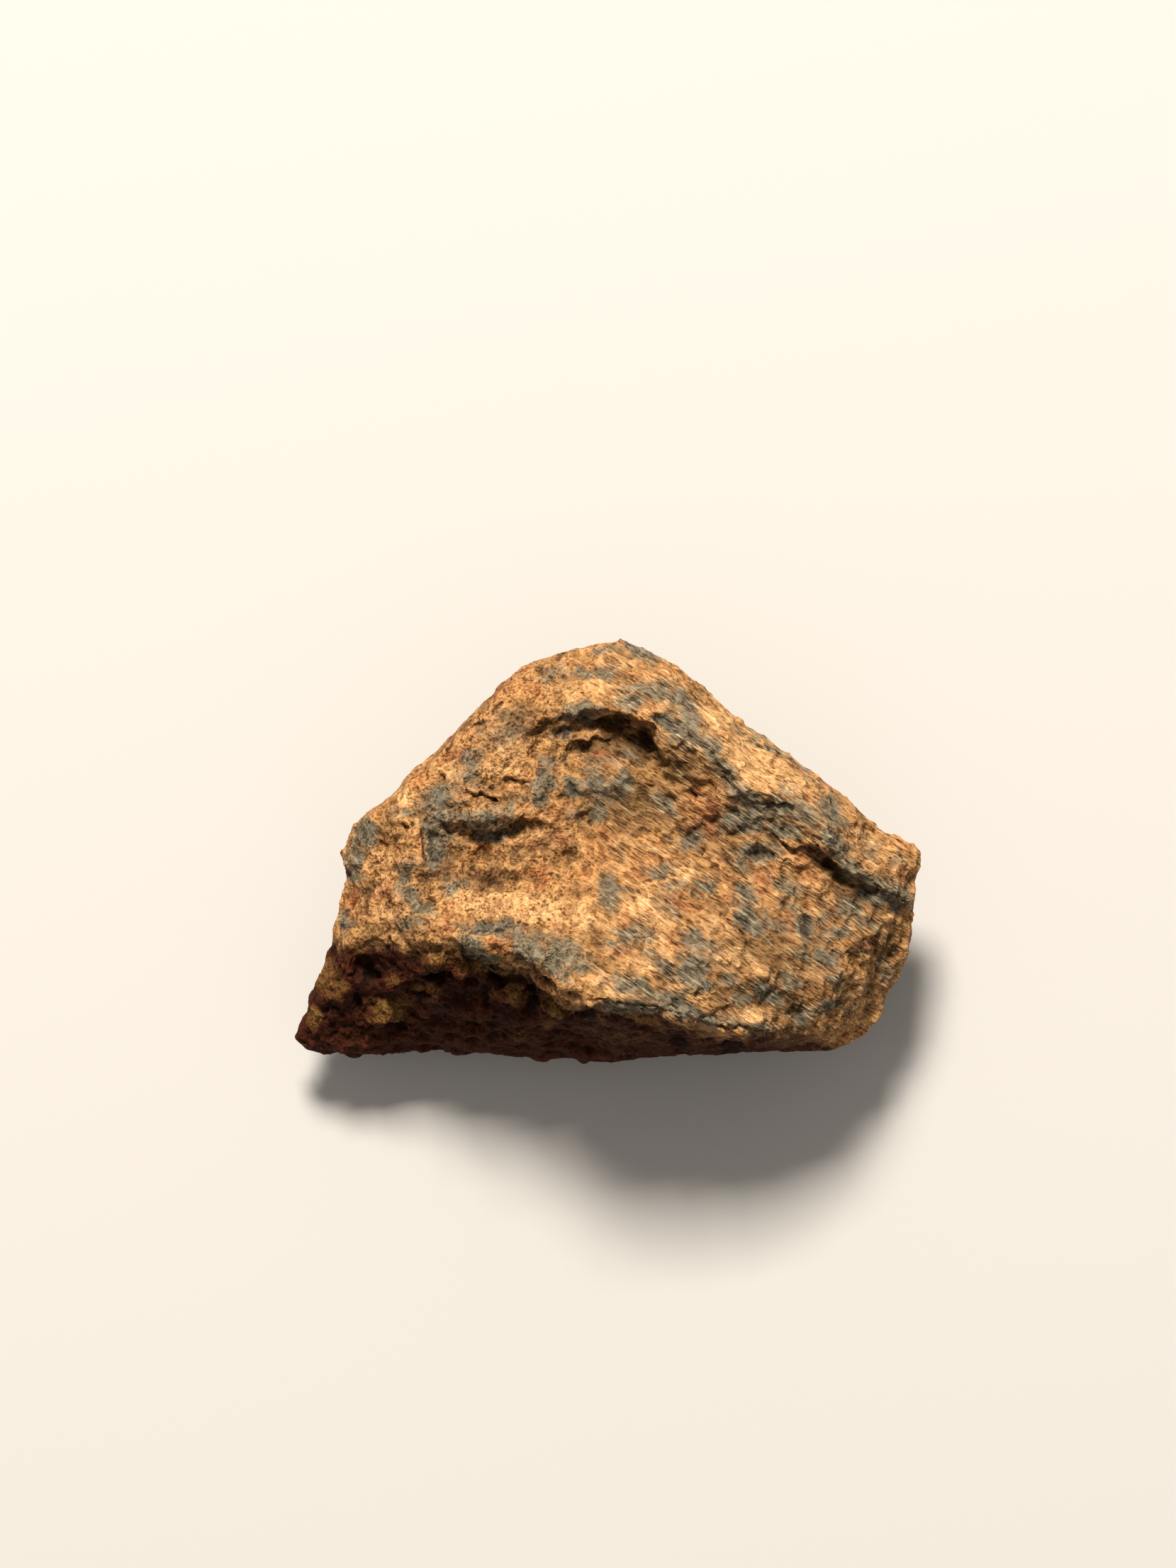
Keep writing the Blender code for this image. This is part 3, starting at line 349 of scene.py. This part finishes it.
# Olive and ochre lumps of the dark lower face: (x, y, half length, half width, turn, strength)
OCHRE = [
    (-6.0, -4.3, 0.35, 0.25, 0, 0.9), (-5.4, -4.3, 0.35, 0.25, 0, 0.7), (-6.9, -4.9, 0.8, 0.45, 10, 0.9),
    (-7.0, -5.3, 0.7, 0.25, 0, 0.8), (-2.9, -4.5, 0.45, 0.35, -20, 0.9), (-1.6, -4.9, 0.5, 0.4, -40, 0.9),
    (-1.9, -5.4, 0.4, 0.3, 0, 0.5), (1.2, -5.3, 1.0, 0.16, -18, 1.0), (4.2, -5.8, 0.5, 0.09, -38, 1.0),
    (-9.0, -3.9, 0.5, 1.0, 15, 0.7), (-9.4, -5.2, 0.3, 0.6, 20, 0.9), (-8.5, -4.3, 0.4, 0.4, 0, 0.6),
    (-0.1, -5.15, 0.35, 0.12, -30, 0.9), (0.6, -5.9, 1.4, 0.25, 0, 0.35), (-2.6, -5.9, 0.7, 0.3, 0, 0.35),
    (3.0, -5.85, 0.25, 0.3, 0, 0.7), (6.0, -6.1, 1.2, 0.2, 0, 0.6), (-4.6, -3.7, 0.4, 0.3, 0, 0.4),
    (-6.7, -4.1, 0.4, 0.25, 0, 0.6), (-5.4, -3.4, 0.5, 0.3, 0, 0.9), (-8.0, -2.6, 0.4, 0.3, 0, 0.7),
    (-7.8, -3.1, 0.3, 0.25, 0, 0.6), (8.4, -5.3, 0.4, 0.25, 40, 0.6), (7.6, -4.0, 0.25, 0.5, 0, 0.5),
    (-0.3, -5.6, 0.6, 0.2, 0, 0.3), (-2.4, -3.9, 0.3, 0.15, -30, 0.5), (-3.6, -4.5, 0.15, 0.3, 0, 0.5),
]

# Dull olive-brown earth, partly painted shade in the hollow under the pit's ledge and on the right facet
# that turns
# from the lamp: (x, y, half length, half width, turn, strength)
LOAM_AND_SHADE = [
    (0.5, 1.6, 2.3, 1.4, 0, 0.75), (0.2, 3.3, 1.9, 0.7, 0, 0.9), (2.2, 2.6, 1.3, 0.8, -20, 0.8),
    (5.3, -3.4, 3.4, 1.9, -20, 0.6), (5.2, -4.6, 2.8, 0.9, -15, 0.8), (8.6, -3.0, 1.1, 1.2, 10, 0.8),
    (-0.8, -3.3, 2.2, 0.7, -15, 0.45), (7.6, -5.0, 1.0, 0.9, 0, 0.3), (-2.4, 0.3, 2.0, 0.6, 0, 0.2),
    (6.6, 0.5, 1.6, 0.8, -30, 0.5), (-7.6, 0.4, 0.9, 1.2, 0, 0.3), (-7.6, -2.6, 1.0, 0.9, 0, 0.5),
    (3.5, 0.6, 1.5, 1.0, 0, 0.5), (-3.8, 1.2, 1.8, 1.0, 0, 0.2), (8.6, -1.6, 1.3, 0.6, -20, 0.7),
    (2.0, -4.6, 1.8, 0.4, -20, 0.5), (-6.2, -2.4, 0.9, 0.5, 0, 0.5), (-3.2, 4.2, 1.0, 0.6, 40, 0.35),
]

# The foot of the bright face: below this line the stone turns down into its dark lower face, painted in
# shade
DARK_EDGE = [
    (-9.3, -2.3), (-8.3, -2.9), (-7.0, -2.75), (-6.0, -3.0), (-4.6, -3.15), (-4.0, -3.6), (-3.2, -3.7),
    (-2.6, -3.55), (-1.8, -4.2), (-1.3, -4.75), (-0.5, -4.75), (0.2, -4.8), (1.9, -5.0), (2.6, -5.45),
    (3.6, -5.75), (4.6, -5.6), (5.4, -5.75), (6.1, -5.6), (7.0, -6.0), (7.8, -6.1), (10.5, -6.2),
]

# The ovals of each finish and each painted shade, and how much wider than listed they are laid out
LAID_OUT = {
    "deep_shade": (DEEP_SHADE, 1.6), "slate": (SLATE, 2.0), "red_rust": (RED_RUST, 1.5),
    "cream": (CREAM, 1.5), "ochre": (OCHRE, 1.4), "loam_and_shade": (LOAM_AND_SHADE, 1.2),
}

# The hidden back: the slow noise that lays out its crust and red rust, as (share, size,
# seed), how each fades in with it, and the even share of earth
BACK_NOISE = [(1.0, 1.6, 33), (0.6, 0.7, 34)]
BACK_SLATE = (0.12, 0.4)
BACK_RED_RUST = (0.1, 0.4)
BACK_LOAM = 0.5

# The painted shade of the dark lower face, which turns from the lamp: how it fades in across its edge, in
# millimetres, its share and its range of y on the hidden side, and how much less its skin is brushed
DARK_FADE = (-0.2, 0.45)
DARK_BELOW = 0.9
DARK_BELOW_FROM = (-1.5, -4.5)
DARK_CALM = 0.8

# The finishes and painted shades that are laid out on the skin by place
FINISHES_AND_SHADES = ("loam_and_shade", "cream", "red_rust", "slate", "lower_face_shade", "ochre", "deep_shade", "hollow", "slant")

# Grains of the finish: (name, (length, width, depth) in millimetres, turn, detail, roughness)
# Real rust crystals are finer than the dust and the fibres: these are as coarse as it takes to show
GRAINS = [
    ("hue", (1.1, 1.1, 1.1), 0.0, 6.0, 0.65),
    ("ragged", (0.3, 0.3, 0.3), 0.0, 5.0, 0.75),
    ("mottle", (0.3, 0.3, 0.3), 0.0, 4.0, 0.65),
    ("sand", (0.36, 0.36, 0.36), 0.0, 5.0, 0.78),
    ("brushed sand", (0.75, 0.3, 0.4), -30.0, 5.0, 0.78),
    ("dust", (0.1, 0.1, 0.1), 0.0, 1.0, 0.5),
    ("brushed dust", (0.3, 0.07, 0.12), -33.0, 1.0, 0.5),
    ("fibres", (0.9, 0.06, 0.3), -36.0, 1.0, 0.5),
]

# Sets the grains apart from each other, in metres for each place on the list
GRAIN_SHIFT = (0.013, 0.007, -0.011)

# Bare rust, by a slow change of hue
RUST_HUES = [(0.36, "#775A3C"), (0.46, "#AC8354"), (0.55, "#C89A66"), (0.66, "#C38250")]

# Dark gaps and pale crests of the flecks, which tint what they lie on; the dark gaps are partly the grain's
# own tone and partly painted shade
FLECK_TONES_AND_GAP_SHADE = [(0.0, "#4A3626"), (0.28, "#B9A692"), (0.55, "#F6E8D8"), (1.0, "#FFFFFF")]

# Coats over the rust, from first to last:
# (finish, share, grain of its edge, raggedness, from, to, two colours)
COATS = [
    # The olive-brown earth, partly painted shade
    ("loam_and_shade", 0.9, "hue", 2.2, 0.15, 0.8, "#4E3A24", "#866A43"),
    ("cream", 0.9, "ragged", 0.9, 0.1, 0.65, "#D6A670", "#EFC58E"),
    ("red_rust", 0.75, "ragged", 0.8, 0.2, 0.8, "#8E4F33", "#A96848"),
    ("slate", 0.85, "ragged", 1.5, 0.12, 0.6, "#484B43", "#8C8C7C"),
    # Painted shade: the near-black brown of the lower face that turns from the lamp
    ("lower_face_shade", 1.0, "ragged", 1.1, 0.1, 0.85, "#2C1006", "#552A12"),
    ("ochre", 0.8, "ragged", 1.3, 0.15, 0.8, "#6A4E24", "#99753F"),
]

# How noise and depth turn into shares and shades
FLECK_CONTRAST = {"From Min": 0.36, "From Max": 0.64}
FIBRE_SHARE = {"From Min": 0.6, "From Max": 0.72, "To Max": 0.35}
# Painted shade in hollows and painted light on ridges, by how deep a place lies below the skin round it
HOLLOW_SHADE_RIDGE_LIGHT = {"From Min": -0.6, "From Max": 0.7, "To Min": 1.2, "To Max": 0.5}
# The near-black colour below, with its share and raggedness, is painted shade in pits, cracks and under
# ledges
DEEP_SHADE_SHARE = {"From Min": 0.55, "From Max": 1.25, "To Max": 0.8}
DEEP_SHADE_RAGGED = 0.7
FIBRE_COLOUR = "#E9D3A6"
DEEP_SHADE_COLOUR = "#1A100B"

# Roughness of the rust and of the grey crust, and the faint glint of both
ROUGHNESS = {"To Min": 0.78, "To Max": 0.52}
GLINT = 0.1

# Bump of the flecks: height in millimetres, strength, and the share of the mottle in it
BUMP_HEIGHT = 0.06
BUMP_STRENGTH = 0.9
BUMP_MOTTLE = 0.6

# Camera straight above, its far side up, in metres; its lens in millimetres
CAMERA_PLACE = (-0.000596, 0.00216, 0.354)
CAMERA_LENS = 253.0
CAMERA_REACH = (0.01, 10.0)

# Lamp: direction and distance from the stone in degrees and metres, side in metres, watts
LAMP_AZIMUTH = -10.0
LAMP_HEIGHT = 50.0
LAMP_DISTANCE = 0.5
LAMP_SIZE = 0.12
LAMP_POWER = 4.7
LAMP_COLOUR = (1.0, 0.97, 0.92)

# Room and floor; the floor's half side is in metres
ROOM_COLOUR = "#F2F0EE"
ROOM_LIGHT = 0.4
FLOOR_COLOUR = "#C4BEB6"
FLOOR_ROUGHNESS = 0.9
FLOOR_HALF = 1.5


def ease(low, high, value):
    """Eases from 0 at low to 1 at high."""
    t = np.clip((value - low) / (high - low), 0.0, 1.0)
    return t * t * (3.0 - 2.0 * t)


def turned(x, y, turn):
    """How far x and y lie along and across an axis that is turned by these degrees."""
    c = math.cos(math.radians(turn))
    s = math.sin(math.radians(turn))
    return x * c + y * s, y * c - x * s


def field(places, size, seed, stretch=(1.0, 1.0, 1.0), turn=0.0):
    """Smooth noise, about -0.5 to 0.5, with grains of this size in millimetres."""
    along, across = turned(places[:, 0], places[:, 1], turn)
    grains = np.stack((along, across, places[:, 2]), axis=1) / (size * np.array(stretch))
    spots = (grains + seed * np.array(SEED_SHIFT)).tolist()
    return np.array([noise.noise(Vector(spot), noise_basis='PERLIN_ORIGINAL') for spot in spots])


def layered(places, layers):
    """Several layers of noise added up, each with its share, size and seed."""
    return sum(share * field(places, size, seed) for share, size, seed in layers)


def stray(places, size, reach, seed):
    """A slow shift in x and y, for lines and ovals that look broken and not drawn."""
    shifts = (field(places, size, seed), field(places, size, seed + 1))
    return np.stack(shifts, axis=1) * reach


def oval(places, mark):
    """1 at the middle of a turned oval, easing to 0 at its edge."""
    x, y, half_length, half_width, turn = mark[:5]
    along, across = turned(places[:, 0] - x, places[:, 1] - y, turn)
    return 1.0 - ease(0.0, 1.0, np.hypot(along / half_length, across / half_width))


def line_gap(places, line):
    """The distance to a line, and on which side of it a place is (left above zero)."""
    nearest = np.full(len(places), 1e9)
    side = np.ones(len(places))
    for start, end in zip(line, line[1:]):
        dx = end[0] - start[0]
        dy = end[1] - start[1]
        px = places[:, 0] - start[0]
        py = places[:, 1] - start[1]
        along = np.clip((px * dx + py * dy) / (dx * dx + dy * dy), 0.0, 1.0)
        gap = np.hypot(px - along * dx, py - along * dy)
        closer = gap < nearest
        nearest = np.where(closer, gap, nearest)
        side = np.where(closer, dx * py - dy * px, side)
    return nearest, side


def in_crack(places, line, half_width, walls):
    """1 inside a crack, easing to 0 between these shares of its half width."""
    gap = line_gap(places, line)[0]
    return 1.0 - ease(walls[0] * half_width, walls[1] * half_width, gap)


def patches(places, marks, spread):
    """The strongest of a list of ovals, drawn a little wider than listed."""
    strongest = np.zeros(len(places))
    for x, y, half_length, half_width, turn, strength in marks:
        wide = (x, y, half_length * spread, half_width * spread, turn)
        strongest = np.maximum(strongest, strength * oval(places, wide))
    return strongest


def hand_over(mesh, obj):
    """Writes a working mesh to the object."""
    mesh.to_mesh(obj.data)
    mesh.free()
    obj.data.update()


def take_shape(obj):
    """The object's evaluated shape as a working mesh; its modifiers are dropped."""
    graph = bpy.context.evaluated_depsgraph_get()
    mesh = bmesh.new()
    mesh.from_object(obj, graph)
    obj.modifiers.clear()
    return mesh


def relax(mesh, passes, factors=(0.5,)):
    """Lets the skin relax for some passes, by each of these factors in turn."""
    all_axes = {"use_axis_x": True, "use_axis_y": True, "use_axis_z": True}
    for _ in range(passes):
        for factor in factors:
            bmesh.ops.smooth_vert(mesh, verts=mesh.verts, factor=factor, **all_axes)


def places_of(mesh):
    """The corners of a working mesh, and their normals, as arrays."""
    mesh.normal_update()
    places = np.array([vert.co[:] for vert in mesh.verts])
    normals = np.array([vert.normal[:] for vert in mesh.verts])
    return places, normals


def terraces(value, steps, edge):
    """Turns a smooth field into flakes: flat steps with short steep edges."""
    level = value * steps
    floor = np.floor(level)
    part = level - floor
    return (floor + ease(0.5 - edge, 0.5 + edge, part)) / steps


def brushed_side(places, normals):
    """1 on the right of the upper face, where the skin is brushed aslant, easing to 0."""
    return ease(*BRUSHED_FROM, places[:, 0]) * ease(*BRUSHED_FACING, normals[:, 2])


def grit(places, normals):
    """The fine broken skin: flakes, grains, pocks and, on the right, slanting streaks."""
    right = brushed_side(places, normals)
    flakes = terraces(layered(places, FLAKE_NOISE), FLAKE_STEPS, FLAKE_EDGE)
    skin = FLAKE_HEIGHT * flakes + layered(places, ROUGH_GRAINS) * (1.0 - STREAK_CALM * right)
    for height, size, seed, turn in STREAKS:
        skin += height * field(places, size, seed, STREAK_STRETCH, turn) * right
    for depth, size, seed, low, high in POCKS:
        skin -= depth * ease(low, high, field(places, size, seed))
    return skin


def carving(places, normals):
    """The ledges, cracks, pits and lumps of the upper face."""
    shift = np.zeros(len(places))
    bent = places[:, :2] + stray(places, *BROAD_STRAY) + stray(places, *FINE_STRAY)
    for line, rise, drop, reach in LEDGES:
        gap, side = line_gap(bent, line)
        fade = np.clip(1.0 - gap / reach, 0.0, 1.0) ** 2 * ease(0.0, LEDGE_LIP, gap)
        shift += np.where(side > 0.0, rise * fade, -drop * fade)
    for line, half_width, depth in CRACKS:
        shift -= depth * in_crack(bent, line, half_width, CRACK_WALLS)
    for mark in PITS:
        shift -= mark[5] * np.sqrt(oval(bent, mark))
    for mark in LUMPS:
        shift += mark[5] * oval(bent, mark)
    return shift * ease(*CARVED_FACING, normals[:, 2])


def relief(mesh):
    """Moves the skin out and in along its normals by its carving and grit."""
    places, normals = places_of(mesh)
    share = RIM_GRIT + (1.0 - RIM_GRIT) * ease(*GRIT_FACING, np.abs(normals[:, 2]))
    shift = share * grit(places, normals) + carving(places, normals)
    shift *= ease(*SOLE_TOP, places[:, 2])
    moved = places + normals * shift[:, None]
    for vert, place in zip(mesh.verts, moved):
        vert.co = place


def hollows(mesh, passes):
    """How deep each place lies below the skin round it, in millimetres."""
    places, normals = places_of(mesh)
    relaxed = mesh.copy()
    relax(relaxed, passes)
    after = np.array([vert.co[:] for vert in relaxed.verts])
    relaxed.free()
    return np.sum((after - places) * normals, axis=1)


def finish_amounts(places, normals, fine, broad):
    """Where each finish and painted shade lies on the skin, from 0 to 1, and how hollow it is, from -1 to 1.
    """
    bent = places[:, :2] + stray(places, *COAT_STRAY)
    seen = ease(*SEEN_FACING, normals[:, 2])
    hidden = 1.0 - seen
    amounts = {name: patches(bent, marks, spread) for name, (marks, spread) in LAID_OUT.items()}

    # Painted shade in the cracks
    along_cracks = places[:, :2] + stray(places, *BROAD_STRAY)
    least, size, seed, low, high = CRACK_SHADE
    broken = least + (1.0 - least) * ease(low, high, field(places, size, seed))
    for line, half_width, _ in CRACKS:
        black = in_crack(along_cracks, line, half_width, SHADED_CRACK_WALLS) * broken
        amounts["deep_shade"] = np.maximum(amounts["deep_shade"], black)
    for name in amounts:
        amounts[name] = amounts[name] * seen

    # The hidden back, in the same coats
    back = layered(places, BACK_NOISE)
    amounts["slate"] += hidden * ease(*BACK_SLATE, back)
    amounts["red_rust"] += hidden * ease(*BACK_RED_RUST, -back)
    amounts["loam_and_shade"] += hidden * BACK_LOAM

    # The painted shade of the dark lower face, and how it goes on below
    gap, side = line_gap(bent, DARK_EDGE)
    lower_face_shade = ease(*DARK_FADE, np.where(side > 0.0, -gap, gap)) * seen
    below = DARK_BELOW * ease(*DARK_BELOW_FROM, places[:, 1]) * hidden
    amounts["lower_face_shade"] = np.maximum(lower_face_shade, below)
    amounts["slant"] = brushed_side(places, normals) * (1.0 - DARK_CALM * amounts["lower_face_shade"])

    depths = [np.clip(deep / full, -1.0, 1.0) for deep, full in zip((fine, broad), HOLLOW_DEPTHS)]
    amounts["hollow"] = 0.5 * sum(depths)
    return amounts


def linear(code):
    """An sRGB hex colour as the linear colour that the shader wants."""
    parts = [int(code[i:i + 2], 16) / 255.0 for i in (1, 3, 5)]
    return tuple(p / 12.92 if p <= 0.04045 else ((p + 0.055) / 1.055) ** 2.4 for p in parts) + (1.0,)


def add_node(tree, kind, inputs, wanted=None, stops=(), **settings):
    """Adds a node with its settings and inputs, and returns the output that is wanted.

    An input is known by its name or its number, and takes a value or another output.
    """
    node = tree.nodes.new(kind)
    for name, value in settings.items():
        setattr(node, name, value)
    for number, (position, colour) in enumerate(stops):
        if number > 1:
            node.color_ramp.elements.new(position)
        node.color_ramp.elements[number].position = position
        node.color_ramp.elements[number].color = linear(colour)
    for key, value in inputs.items():
        socket = node.inputs[key] if isinstance(key, int) else in_use(node.inputs, key)
        if isinstance(value, bpy.types.NodeSocket):
            tree.links.new(value, socket)
        else:
            socket.default_value = value
    return in_use(node.outputs, wanted)


def in_use(sockets, name):
    """The first socket in use, or the first one in use with this name."""
    return next(socket for socket in sockets if socket.enabled and name in (None, socket.name))


def rusted_iron():
    """Weathered iron: matt brown rust, with smoother blue-grey magnetite crust left in patches.

    It gives the eye pale and dark flecks as fine as sand, brushed aslant on the right of the stone, their
    dark partly painted shade in the gaps of their bump. Its colour carries painted shade: nearly black in
    the cracks, pits and under ledges, near-black brown down the lower face that turns from the lamp, and
    darker in hollows, with painted light on ridges.
    No bare metal shows, so nothing of it is metallic.
    """
    material = bpy.data.materials.new("rusted meteoritic iron")
    material.use_nodes = True
    tree = material.node_tree
    shader = tree.nodes["Principled BSDF"]
    place = add_node(tree, 'ShaderNodeTexCoord', {}, "Object")
    amounts = {}
    for name in FINISHES_AND_SHADES:
        amounts[name] = add_node(tree, 'ShaderNodeAttribute', {}, "Fac", attribute_name=name)

    # Grains: each gets its own length, width and depth in millimetres
    grains = {}
    for number, (name, spans, turn, detail, roughness) in enumerate(GRAINS):
        at = add_node(tree, 'ShaderNodeMapping', {
            "Vector": place, "Scale": [span * MM for span in spans],
            "Rotation": (0.0, 0.0, math.radians(turn)),
            "Location": [number * step for step in GRAIN_SHIFT]}, vector_type='TEXTURE')
        grains[name] = add_node(tree, 'ShaderNodeTexNoise', {
            "Vector": at, "Scale": 1.0, "Detail": detail, "Roughness": roughness})

    # Flecks: sand and dust on the left, brushed aslant on the right
    layers = []
    for plain, brushed in (("sand", "brushed sand"), ("dust", "brushed dust")):
        layer = add_node(tree, 'ShaderNodeMix', {
            "Factor": amounts["slant"], "A": grains[plain], "B": grains[brushed]})
        layers.append(add_node(tree, 'ShaderNodeMapRange', {"Value": layer, **FLECK_CONTRAST}))
    flecks = add_node(tree, 'ShaderNodeMix', {"Factor": 0.5, "A": layers[0], "B": layers[1]})

    # Coats: each lies over those before it, with a ragged edge
    covers = {}
    colour = add_node(tree, 'ShaderNodeValToRGB', {"Fac": grains["hue"]}, stops=RUST_HUES)
    for name, share, grain, ragged, low, high, first, second in COATS:
        edge = add_node(tree, 'ShaderNodeMath', {
            0: grains[grain], 1: ragged, 2: amounts[name]}, operation='MULTIPLY_ADD')
        edge = add_node(tree, 'ShaderNodeMath', {0: edge, 1: 0.5 * ragged}, operation='SUBTRACT')
        cover = add_node(tree, 'ShaderNodeMapRange', {
            "Value": edge, "From Min": low, "From Max": high})
        covers[name] = add_node(tree, 'ShaderNodeMath', {0: cover, 1: share}, operation='MULTIPLY')
        coat = add_node(tree, 'ShaderNodeMix', {
            "Factor": grains["mottle"], "A": linear(first), "B": linear(second)}, data_type='RGBA')
        colour = add_node(tree, 'ShaderNodeMix', {
            "Factor": covers[name], "A": colour, "B": coat}, data_type='RGBA')

    # Over all coats: fleck tones, partly painted shade, pale fibres, painted shade in hollows and painted
    # light on ridges, and painted near-black shade in pits, cracks and under ledges
    tone_and_gap_shade = add_node(tree, 'ShaderNodeValToRGB', {"Fac": flecks}, stops=FLECK_TONES_AND_GAP_SHADE)
    colour = add_node(tree, 'ShaderNodeMix', {
        "Factor": 1.0, "A": colour, "B": tone_and_gap_shade}, data_type='RGBA', blend_type='MULTIPLY')
    fibres = add_node(tree, 'ShaderNodeMapRange', {"Value": grains["fibres"], **FIBRE_SHARE})
    fibres = add_node(tree, 'ShaderNodeMath', {0: fibres, 1: amounts["slant"]}, operation='MULTIPLY')
    colour = add_node(tree, 'ShaderNodeMix', {
        "Factor": fibres, "A": colour, "B": linear(FIBRE_COLOUR)}, data_type='RGBA')
    shade = add_node(tree, 'ShaderNodeMapRange', {"Value": amounts["hollow"], **HOLLOW_SHADE_RIDGE_LIGHT})
    colour = add_node(tree, 'ShaderNodeVectorMath', {0: colour, 3: shade}, operation='SCALE')
    black = add_node(tree, 'ShaderNodeMath', {
        0: grains["ragged"], 1: DEEP_SHADE_RAGGED, 2: amounts["deep_shade"]}, operation='MULTIPLY_ADD')
    black = add_node(tree, 'ShaderNodeMapRange', {"Value": black, **DEEP_SHADE_SHARE})
    colour = add_node(tree, 'ShaderNodeMix', {
        "Factor": black, "A": colour, "B": linear(DEEP_SHADE_COLOUR)}, data_type='RGBA')
    tree.links.new(colour, shader.inputs["Base Color"])

    smoother = add_node(tree, 'ShaderNodeMapRange', {"Value": covers["slate"], **ROUGHNESS})
    tree.links.new(smoother, shader.inputs["Roughness"])
    shader.inputs["Specular IOR Level"].default_value = GLINT
    height = add_node(tree, 'ShaderNodeMath', {
        0: grains["mottle"], 1: BUMP_MOTTLE, 2: flecks}, operation='MULTIPLY_ADD')
    bump = add_node(tree, 'ShaderNodeBump', {
        "Height": height, "Strength": BUMP_STRENGTH, "Distance": BUMP_HEIGHT * MM})
    tree.links.new(bump, shader.inputs["Normal"])
    return material


def dress_meteorite():
    """The stone's finished skin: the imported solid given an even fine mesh, carved and coated."""
    mesh = bmesh.new()
    mesh.from_mesh(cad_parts["meteorite"].data)
    bmesh.ops.remove_doubles(mesh, verts=mesh.verts, dist=SAME_POINT)
    bmesh.ops.scale(mesh, verts=mesh.verts, vec=(1.0 / MM, 1.0 / MM, 1.0 / MM))
    skin = bpy.data.objects.new("meteorite_skin", bpy.data.meshes.new("meteorite_skin"))
    bpy.context.scene.collection.objects.link(skin)
    hand_over(mesh, skin)

    even_skin = skin.modifiers.new("even skin", 'REMESH')
    even_skin.mode = 'VOXEL'
    even_skin.voxel_size = SKIN_VOXEL
    mesh = take_shape(skin)
    relax(mesh, FACET_PASSES, (FACET_SHRINK, FACET_SWELL))
    relief(mesh)
    bmesh.ops.triangulate(mesh, faces=mesh.faces)
    thinning = min(SKIN_TRIANGLES / len(mesh.faces), 1.0)
    hand_over(mesh, skin)

    thinned = skin.modifiers.new("thinned", 'DECIMATE')
    thinned.ratio = thinning
    mesh = take_shape(skin)
    places, normals = places_of(mesh)
    fine, broad = [hollows(mesh, passes) for passes in HOLLOW_PASSES]
    amounts = finish_amounts(places, normals, fine, broad)
    bmesh.ops.scale(mesh, verts=mesh.verts, vec=(MM, MM, MM))
    hand_over(mesh, skin)
    for name in FINISHES_AND_SHADES:
        layer = skin.data.attributes.new(name, 'FLOAT', 'POINT')
        layer.data.foreach_set("value", amounts[name].astype(np.float32))
    skin.data.shade_smooth()
    skin.data.materials.append(rusted_iron())
    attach(skin, "root")
    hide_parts("meteorite")


def lay_floor():
    """A plain pale matt floor."""
    mesh = bmesh.new()
    bmesh.ops.create_grid(mesh, x_segments=1, y_segments=1, size=FLOOR_HALF)
    floor = bpy.data.objects.new("floor", bpy.data.meshes.new("floor"))
    bpy.context.scene.collection.objects.link(floor)
    hand_over(mesh, floor)
    matt = bpy.data.materials.new("matt pale board")
    matt.use_nodes = True
    shader = matt.node_tree.nodes["Principled BSDF"]
    shader.inputs["Base Color"].default_value = linear(FLOOR_COLOUR)
    shader.inputs["Roughness"].default_value = FLOOR_ROUGHNESS
    floor.data.materials.append(matt)


def light_and_look():
    """A soft lamp from the far side, a pale room round it, and the camera straight above."""
    lamp = bpy.data.lights.new("soft lamp", 'AREA')
    lamp.shape = 'SQUARE'
    lamp.size = LAMP_SIZE
    lamp.energy = LAMP_POWER
    lamp.color = LAMP_COLOUR
    lit = bpy.data.objects.new("soft lamp", lamp)
    turn = math.radians(LAMP_AZIMUTH)
    rise = math.radians(LAMP_HEIGHT)
    aim = Vector((math.sin(turn) * math.cos(rise), math.cos(turn) * math.cos(rise), math.sin(rise)))
    lit.location = aim * LAMP_DISTANCE
    lit.rotation_euler = aim.to_track_quat('Z', 'Y').to_euler()
    bpy.context.scene.collection.objects.link(lit)

    room = bpy.data.worlds.new("pale room")
    room.use_nodes = True
    sky = room.node_tree.nodes["Background"]
    sky.inputs["Color"].default_value = linear(ROOM_COLOUR)
    sky.inputs["Strength"].default_value = ROOM_LIGHT
    bpy.context.scene.world = room

    lens = bpy.data.cameras.new("camera")
    lens.lens = CAMERA_LENS
    lens.clip_start, lens.clip_end = CAMERA_REACH
    camera = bpy.data.objects.new("camera", lens)
    camera.location = CAMERA_PLACE
    bpy.context.scene.collection.objects.link(camera)
    bpy.context.scene.camera = camera
    bpy.context.scene.view_settings.view_transform = 'Standard'


dress_meteorite()
lay_floor()
light_and_look()
